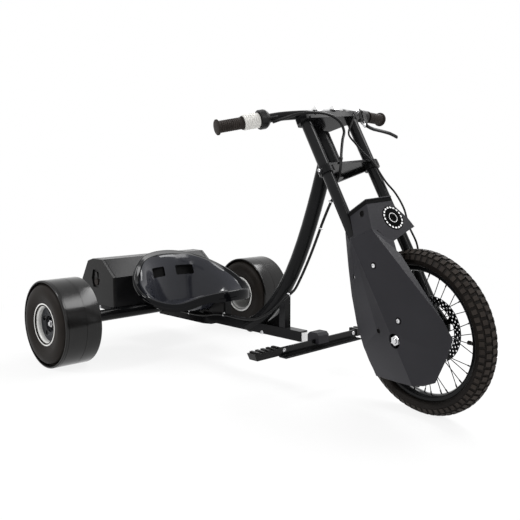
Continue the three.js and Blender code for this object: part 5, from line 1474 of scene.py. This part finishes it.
def resampled(points, steps):
    """Points spread evenly along a line of points."""
    lengths = [0.0]
    for a, b in zip(points, points[1:]):
        lengths.append(lengths[-1] + (b - a).length)
    made = []
    for k in range(steps):
        s = lengths[-1] * k / (steps - 1)
        i = next((n for n in range(1, len(lengths)) if lengths[n] >= s - 1e-9), len(lengths) - 1)
        t = (s - lengths[i - 1]) / max(lengths[i] - lengths[i - 1], 1e-9)
        made.append(points[i - 1].lerp(points[i], t))
    return made


def eased(ring):
    """A ring with each point moved a little toward the middle of its neighbours."""
    count = len(ring)
    return [(ring[i] * 2 + ring[i - 1] + ring[(i + 1) % count]) / 4 for i in range(count)]


def seat_slot(sign):
    """Slot through the seat's back."""
    outline = rounded_outline(29.3, 15.2, 5.0)
    return Form().loft([[(x, sign * SLOT_Y + a, SLOT_Z + b) for a, b in outline] for x in (-48.0, 40.0)])


def slot_shade_pockets():
    """Dark wedges behind both slots, painted shade seen through them."""
    form = Form()
    for sign in (-1, 1):
        low, high = sign * SLOT_Y - 36.0, sign * SLOT_Y + 62.0
        form.loft([[(x, y, z) for x, y in ((-4.0, low), (front, low), (front, high), (-4.0, high))]
                   for z, front in ((224.0, 14.0), (262.0, 4.0))])
    return form


class MakeSeat(bpy.types.Operator):
    """Make the seat shell with its rolled rim and two slots"""

    bl_idname = "trike.seat"
    bl_label = "Seat"

    def execute(self, context):
        seat = on_frame("moulded_seat_shell", seat_form(140), ["seat plastic", "seat inside painted sheen"],
                        "seat_plastic", stands_for=["seat_shell"], crease=60.0)
        thick = seat.modifiers.new("wall", "SOLIDIFY")
        thick.thickness = 0.004
        thick.offset = -1.0
        thick.use_even_offset = True
        made = mesh_with_modifiers(seat)
        seat.modifiers.clear()
        seat.data = made
        carve(seat, [seat_slot(-1), seat_slot(1)], GROUND)
        seat.data.set_sharp_from_angle(angle=math.radians(50.0))
        on_frame("seat_slot_shade_pockets", slot_shade_pockets(), "dark hollow", "seat_plastic")
        return {"FINISHED"}


# Handlebar and its fittings


BAR_RADIUS = 11.0
BAR_X, BAR_Z = 45.0, 591.0
SWEEP = math.radians(13)
GRIP_LENGTH, GRIP_RADIUS, GRIP_DEPTH = 64.0, 14.6, 1.3
THROTTLE_LENGTH, THROTTLE_RADIUS, THROTTLE_DEPTH = 42.0, 18.5, 1.1
FLANGE_RADIUS, FLANGE_WIDTH = 18.8, 5.0
GRIP_BORE = 11.6
GRIP_START = GRIP_LENGTH - 1.9
# Share of one rib's pitch, and share of the groove's depth
RIB = ((0.04, 1.0), (0.2, 0.25), (0.38, 0.0), (0.66, 0.0), (0.84, 0.25), (0.98, 1.0))


def grip_point(distance, sign):
    """Point on the bar's end part, at a distance in from its tip."""
    return Vector((-27.0 + math.sin(SWEEP) * distance, sign * (270.0 - math.cos(SWEEP) * distance), 611.0))


def grip_frame(sign, distance):
    """Frame whose Y runs outward along a grip, at a distance in from the tip."""
    outward = (grip_point(0, sign) - grip_point(150, sign)).normalized()
    up = Vector((0, 0, 1))
    return FORK @ axes(outward.cross(up), outward, up, grip_point(distance, sign) * MM)


def handlebar_path():
    """The bar's line from its left tip to its right tip."""
    outward = Vector((-math.sin(SWEEP), math.cos(SWEEP), 0))
    bend = [Vector((BAR_X, 50.0, BAR_Z)), Vector((BAR_X, 72.0, BAR_Z)), grip_point(150, 1) - outward * 30.0,
            grip_point(150, 1)]
    left = [grip_point(5.0, 1)] + bezier(list(reversed(bend)), 22) + [bend[0]]
    right = [Vector((p.x, -p.y, p.z)) for p in reversed(left)]
    right[-1] = grip_point(0.0, -1)
    return left + right


def ribbed(radius, length, ribs, depth):
    """Outer line of a ribbed sleeve along Y: round ribs between narrow grooves."""
    pitch = length / ribs
    return [(radius - depth * drop, i * pitch + pitch * share) for i in range(ribs) for share, drop in RIB]


def grip_form(ribs):
    """Grip: a collar at its inner end, a ribbed body and a closed flanged tip."""
    end = GRIP_LENGTH + FLANGE_WIDTH
    collar = [(GRIP_BORE, 0.0), (16.2, 0.2), (16.6, 1.2), (16.2, 2.4)]
    tip = [(FLANGE_RADIUS - 1.2, GRIP_LENGTH), (FLANGE_RADIUS, GRIP_LENGTH + 1.0),
           (FLANGE_RADIUS, end - 1.2), (FLANGE_RADIUS - 1.4, end), (7.0, end + 0.3), (0.4, end + 0.3),
           (0.4, end - 2.4), (GRIP_BORE, end - 2.4)]
    return turned(collar + ribbed(GRIP_RADIUS, GRIP_LENGTH, ribs, GRIP_DEPTH)[1:] + tip, 48)


def throttle_sleeve_form(ribs):
    """Throttle sleeve: a ribbed tube with plain ends."""
    line = ribbed(THROTTLE_RADIUS, THROTTLE_LENGTH, ribs, THROTTLE_DEPTH)
    end = [(THROTTLE_RADIUS - THROTTLE_DEPTH, THROTTLE_LENGTH), (GRIP_BORE, THROTTLE_LENGTH)]
    return turned([(GRIP_BORE, 0.0)] + line + end, 56)


class MakeHandlebar(bpy.types.Operator):
    """Make the bar, grips and throttle sleeve"""

    bl_idname = "trike.handlebar"
    bl_label = "Handlebar"

    def execute(self, context):
        sizes = context.scene.trike_sizes
        on_fork("handlebar_tube", round_tube(handlebar_path(), BAR_RADIUS, 28), "gloss paint", "black_paint",
                stands_for=["handlebar"])
        for side, place in (("right", grip_frame(-1, GRIP_START)),
                            ("left", grip_frame(1, GRIP_START + FLANGE_WIDTH))):
            make_piece(f"ribbed_grip_{side}", grip_form(sizes.grip_ribs), place, "grip", "steering", "grip",
                       [f"grip_{side}"], crease=50.0)
        make_piece("ribbed_throttle_sleeve", throttle_sleeve_form(sizes.sleeve_ribs),
                   grip_frame(-1, GRIP_START + 0.5 + THROTTLE_LENGTH), "pale sleeve", "throttle",
                   "pale_sleeve", ["throttle_sleeve"], crease=50.0)
        return {"FINISHED"}


# Cords


BRAKE_ROUTE = (
    (16, 152, 572), (40, 126, 583), (66, 102, 586), (84, 68, 568), (80, 38, 540), (74, 20, 513),
    (74, 29, 486), (74, 41, 460), (74, 60, 430), (71, 72, 394), (70, 79, 374), (70, 93, 344),
    (70, 99, 302), (70, 90, 254), (68, 92, 205), (46, 99, 172), (28, 88, 142), (28, 66, 118),
    (33.6, 61.4, 105.5))
WIRE_ROUTE = (
    (12, -141, 594), (34, -126, 589), (64, -108, 581), (86, -78, 571), (89, -34, 562), (80, 2, 545),
    (75, 8, 523), (74, -8, 499), (74, -29, 465), (74, -44, 438), (62, -50, 416), (34, -46, 404),
    (2, -30, 396), (-24, -12, 388))
HARNESS_ROUTE = (
    (704, 0, 497), (694, -3, 478), (668, -3, 428), (648, -3, 384), (622, -3, 330), (590, -3, 272),
    (571, -5, 242),
    (556, -22, 222), (528, -27, 194), (490, -27, 168), (450, -26, 150), (410, -24, 142), (370, -21, 139),
    (300, -19, 139.5), (262, -24, 137), (230, -30, 130), (190, -30, 126), (90, -30, 126), (52, -33, 128),
    (31, -35, 138.5), (14, -36, 152), (2, -36, 166))


class MakeCords(bpy.types.Operator):
    """Make the brake cable, the control wires and the frame's harness"""

    bl_idname = "trike.cords"
    bl_label = "Cords"

    def execute(self, context):
        for make, name, route, radius, node in (
                (on_fork, "brake_cable_jacket", BRAKE_ROUTE, 2.4, "brake_cable"),
                (on_fork, "control_wire_loom", WIRE_ROUTE, 3.4, "control_wires"),
                (on_frame, "frame_harness_loom", HARNESS_ROUTE, 3.6, "frame_harness")):
            make(name, round_tube(smooth_path(route, 8), radius, 12), "cord", "cord", stands_for=[node])
        return {"FINISHED"}


# Fastenings


LEG_AHEAD, LEG_ASIDE = 49.6, 74.8
EAR_HEIGHT = 435.0
CROWN_TOP = 579.3
CAP_PROFILE = ((0.4, 0.0), (12.8, 0.0), (13.2, 0.8), (13.2, 2.4), (12.0, 3.4), (4.6, 3.6), (4.0, 2.2),
               (0.4, 2.2))
ADJUSTER_PROFILE = ((2.5, -8.0), (3.6, -8.0), (4.3, -7.0), (4.3, -2.0), (3.2, -1.0), (3.2, 5.0), (4.0, 5.6),
                    (4.0, 8.0), (2.5, 8.0))
# Place and direction of each adjuster and tie
ADJUSTERS = (((80.5, 73, 571.5), (0.2, -0.8, -0.55)), ((17, 150.5, 573), (0.66, -0.7, 0.3)))
FORK_TIES = (((86, -70, 570), (0.05, 1, -0.2)), ((81.5, 56, 557), (-0.1, -0.7, -0.7)),
             ((74, -38, 449), (0, -0.5, -0.85)))
HARNESS_TIES = (((661.5, -3, 414), (0.41, 0, 0.91)), ((562, -14, 230), (0.5, 0.5, 0.7)),
                ((696, -3, 482), (0.46, 0.1, 0.88)), ((300, -19, 139.5), (1, 0, 0)),
                ((150, -30, 126), (1, 0, 0)))
# Height, and scale of the outline
TRAY_STATIONS = ((131.5, 0.985), (133.0, 1.0), (144.6, 1.0))
PROP_OUTLINE = ((196, 135.4), (292, 135.4), (292, 173), (262, 175), (240, 160), (224, 144), (196, 144))
GUSSET_OUTLINE = ((456, 133.6), (529, 133.6), (529, 196), (506, 166))


def tie_form(at, way, radius):
    """A cable tie: a thin band round a cord and its little square head."""
    place = facing(at, way)
    band = turned([(radius, -1.7), (radius + 1.0, -1.7), (radius + 1.0, 1.7), (radius, 1.7)], 20)
    outline = rounded_outline(2.6, 2.3, 0.7, 3)
    head = Form().loft([[(a, b, radius + h) for a, b in outline] for h in (0.4, 3.2)])
    return Form().add(band, place).add(head, place)


def ties_form(ties, radius):
    """Cable ties at places along a cord, each facing the cord's way."""
    form = Form()
    for at, way in ties:
        form.add(tie_form(at, way, radius))
    return form


def nut_form(at, way, bore, across, thick):
    """A hexagonal nut with its washer, round a shaft."""
    place = facing(at, way)
    washer = turned([(bore, 0.0), (across * 0.62, 0.0), (across * 0.62, 0.9), (bore, 0.9)], 32)
    nut = turned([(bore, 0.9), (across * 0.54, 0.9), (across * 0.577, 1.6), (across * 0.577, thick - 0.8),
                  (across * 0.52, thick), (bore, thick)], 6)
    return Form().add(washer, place).add(nut, place)


def crown_forms():
    """The lower crown's ears with their screws, and the legs' caps with the steerer's nut."""
    ears, screws, caps = Form(), Form(), Form()
    for sign in (-1, 1):
        root, tip = ((LEG_AHEAD + 1.0, sign * (LEG_ASIDE + reach), EAR_HEIGHT) for reach in (14.0, 22.0))
        ears.add(rod(root, tip, 8.0, 28, 1.2))
        screws.add(screw_form(tip, (0, sign, 0), 4.6))
        caps.add(turned(CAP_PROFILE, 40), facing((LEG_AHEAD, sign * LEG_ASIDE, CROWN_TOP), (0, 0, 1)))
    caps.add(nut_form((0, 0, CROWN_TOP + 0.4), (0, 0, 1), 14.2, 34.0, 9.0))
    return ears, screws, caps


def adjusters_form():
    """Cable adjusters, at the lever and under the bar."""
    form = Form()
    for at, way in ADJUSTERS:
        form.add(turned(ADJUSTER_PROFILE, 20), facing(at, way))
    return form


def frame_screws_form():
    """Screws of the footrest's clamp and of the battery tray."""
    form = Form()
    for sign in (-1, 1):
        form.add(screw_form((457.0, sign * 14.0, 110.5), (0, sign, 0), 5.6))
        form.add(screw_form((-82.0, sign * 204.0, 138.5), (0, sign, 0), 4.6))
    return form


def peg_screws_form():
    """Screws in the footrest bar's ends."""
    form = Form()
    for sign in (-1, 1):
        form.add(screw_form((661.0, sign * 137.0, 116.5), (1, 0, 0), 5.8))
    return form


def tray_form():
    """Low tray round the battery case's foot."""
    outline = rounded_outline(82.0, 204.0, 4.0, 4)
    return Form().loft([[(-99.0 + a * s, b * s, z) for a, b in outline] for z, s in TRAY_STATIONS])


def upright_plate(outline, half):
    """An [ahead, up] outline with a thickness on both sides of the middle."""
    return Form().loft([[(x, y, z) for x, z in outline] for y in (-half, half)])


class MakeFastenings(bpy.types.Operator):
    """Make the screws, nuts, leg caps and cable ties"""

    bl_idname = "trike.fastenings"
    bl_label = "Fastenings"

    def execute(self, context):
        ears, screws, caps = crown_forms()
        on_fork("crown_ears", ears, "gloss paint", "black_paint")
        on_fork("crown_ear_screws", screws, "steel", "steel")
        on_fork("leg_caps_and_steerer_nut", caps, "dark steel", "dark_steel")
        on_fork("fork_cable_ties", ties_form(FORK_TIES, 3.5), "black plastic", "black_plastic")
        on_fork("cable_adjusters", adjusters_form(), "steel", "steel")
        on_frame("harness_ties", ties_form(HARNESS_TIES, 3.7), "steel", "steel")
        on_frame("frame_screws", frame_screws_form(), "steel", "steel")
        on_frame("battery_tray", tray_form(), "satin paint", "black_paint")
        prop = on_frame("seat_front_prop", upright_plate(PROP_OUTLINE, 14.0), "black plastic",
                        "black_plastic")
        soften(prop, 0.002)
        # Painted shade: a near black plate filling the gap between down tube and strut, kept dark under the
        # lamps.
        gusset = on_frame("strut_gusset_painted_shade", upright_plate(GUSSET_OUTLINE, 2.5), "dark hollow",
                          "black_paint")
        soften(gusset, 0.0008)
        make_piece("footrest_screws", peg_screws_form(), GROUND, "steel", "footrest", "steel")
        return {"FINISHED"}


# Stage


FLOOR_REACH = 30.0
WHITE = (1.0, 1.0, 1.0, 1.0)
FLOOR_GREY = (0.93, 0.93, 0.93)
# Name, place, aim, width, height and power
LAMPS = (
    ("key_softbox", (-0.9, -2.3, 2.1), (-0.1, 0.0, 0.2), 0.5, 0.4, 32.0),
    ("front_softbox", (2.6, -0.2, 1.9), (0.2, 0.0, 0.3), 0.25, 1.2, 9.0),
    ("top_softbox", (0.35, 1.2, 2.2), (0.0, 0.0, 0.2), 2.7, 0.8, 58.0),
)
CAMERA_PLACE = (1.35434, -1.36612, 0.54330)
# Yaw, pitch and roll in degrees
CAMERA_TURNS = (45.89, -6.71, -0.17)
FOCAL_PIXELS = 700.97
PICTURE_PIXELS = 520.0
SENSOR_WIDTH = 36.0


class MakeStage(bpy.types.Operator):
    """Make the floor, the lights and the camera"""

    bl_idname = "trike.stage"
    bl_label = "Stage"

    def execute(self, context):
        self.make_floor()
        self.make_world(context.scene)
        self.make_lamps(context.scene)
        self.make_camera(context.scene)
        context.scene.view_settings.view_transform = "Standard"
        return {"FINISHED"}

    def make_floor(self):
        """White floor that keeps a soft shadow near the trike."""
        mesh = bpy.data.meshes.new("studio_floor")
        corners = [(x * FLOOR_REACH, y * FLOOR_REACH, 0) for x, y in ((-1, -1), (1, -1), (1, 1), (-1, 1))]
        mesh.from_pydata(corners, [], [(0, 1, 2, 3)])
        made = Finish("floor_white", FLOOR_GREY, 0.9, specular=0.1)
        made.colour(made.mix(made.noise(0.7, 2.0), made.flat, shade(FLOOR_GREY, 1.0, 0.02)))
        glow = made.node("ShaderNodeEmission", None, {"Color": WHITE, "Strength": 1.0})
        seen = self.straight_or_mirrored(made.tree)
        factor = seen * (0.85 + made.measure("LENGTH", made.where()).ramp(0.6, 1.5) * 0.15)
        mixed = made.node("ShaderNodeMixShader", None, {0: factor, 1: made.shader.outputs[0], 2: glow})
        made.tree.links.new(mixed, made.tree.nodes["Material Output"].inputs["Surface"])
        mesh.materials.append(made.material)
        linked("studio_floor", mesh)

    def straight_or_mirrored(self, tree):
        """One for rays from the camera, also by way of a mirror or glass, and zero for the others."""
        path = tree.nodes.new("ShaderNodeLightPath")
        seen = Amount(tree, path.outputs["Is Camera Ray"])
        seen = seen.join("MAXIMUM", seen, path.outputs["Is Glossy Ray"])
        return seen.join("MAXIMUM", seen, path.outputs["Is Transmission Ray"])

    def make_world(self, scene):
        """White air, dimmer where it lights than where it is seen."""
        world = bpy.data.worlds.new("studio_air")
        scene.world = world
        world.use_nodes = True
        back = world.node_tree.nodes["Background"]
        back.inputs["Color"].default_value = WHITE
        seen = self.straight_or_mirrored(world.node_tree)
        feed(world.node_tree, back.inputs["Strength"], 0.55 + seen * 0.45)

    def make_lamps(self, scene):
        for name, place, aim, wide, high, power in LAMPS:
            lamp = bpy.data.lights.new(name, "AREA")
            lamp.shape = "RECTANGLE"
            lamp.size = wide
            lamp.size_y = high
            lamp.energy = power
            holder = bpy.data.objects.new(name, lamp)
            holder.location = place
            holder.rotation_euler = (Vector(aim) - Vector(place)).to_track_quat("-Z", "Y").to_euler()
            scene.collection.objects.link(holder)

    def make_camera(self, scene):
        """The camera of the reference view, turned by yaw, pitch and roll in degrees."""
        yaw, pitch, roll = (math.radians(v) for v in CAMERA_TURNS)
        look = Vector((-math.sin(yaw) * math.cos(pitch), math.cos(yaw) * math.cos(pitch), math.sin(pitch)))
        right = Vector((math.cos(yaw), math.sin(yaw), 0.0))
        up = right.cross(look)
        side = right * math.cos(roll) + up * math.sin(roll)
        top = up * math.cos(roll) - right * math.sin(roll)
        camera = bpy.data.cameras.new("photo_camera")
        camera.sensor_width = SENSOR_WIDTH
        camera.lens = SENSOR_WIDTH * FOCAL_PIXELS / PICTURE_PIXELS
        camera.clip_end = 200.0
        holder = bpy.data.objects.new("photo_camera", camera)
        holder.matrix_world = axes(side, top, -look, Vector(CAMERA_PLACE))
        scene.collection.objects.link(holder)
        scene.camera = holder


STEPS = (MakeFinishes, MakeStage, DressFrame, MakeRearWheels, MakeFrontWheel, MakeChain, MakeCover, MakeSeat,
         MakeHandlebar, MakeCords, MakeFastenings)


class TrikePanel(bpy.types.Panel):
    """Lists the steps that dress the trike"""

    bl_idname = "VIEW3D_PT_trike"
    bl_label = "Trike"
    bl_space_type = "VIEW_3D"
    bl_region_type = "UI"
    bl_category = "Trike"

    def draw(self, context):
        for step in STEPS:
            self.layout.operator(step.bl_idname)
        for group in (context.scene.trike_sizes, context.scene.trike_colours):
            for key in group.__annotations__:
                self.layout.prop(group, key)


CLASSES = (TrikeSizes, TrikeColours, *STEPS, TrikePanel)


def register():
    for each in CLASSES:
        bpy.utils.register_class(each)
    bpy.types.Scene.trike_sizes = bpy.props.PointerProperty(type=TrikeSizes)
    bpy.types.Scene.trike_colours = bpy.props.PointerProperty(type=TrikeColours)


def unregister():
    del bpy.types.Scene.trike_colours
    del bpy.types.Scene.trike_sizes
    for each in reversed(CLASSES):
        bpy.utils.unregister_class(each)


def main():
    """Makes everything in order."""
    register()
    for step in STEPS:
        group, name = step.bl_idname.split(".")
        getattr(getattr(bpy.ops, group), name)()
    bpy.context.view_layer.update()


if __name__ == "__main__":
    main()
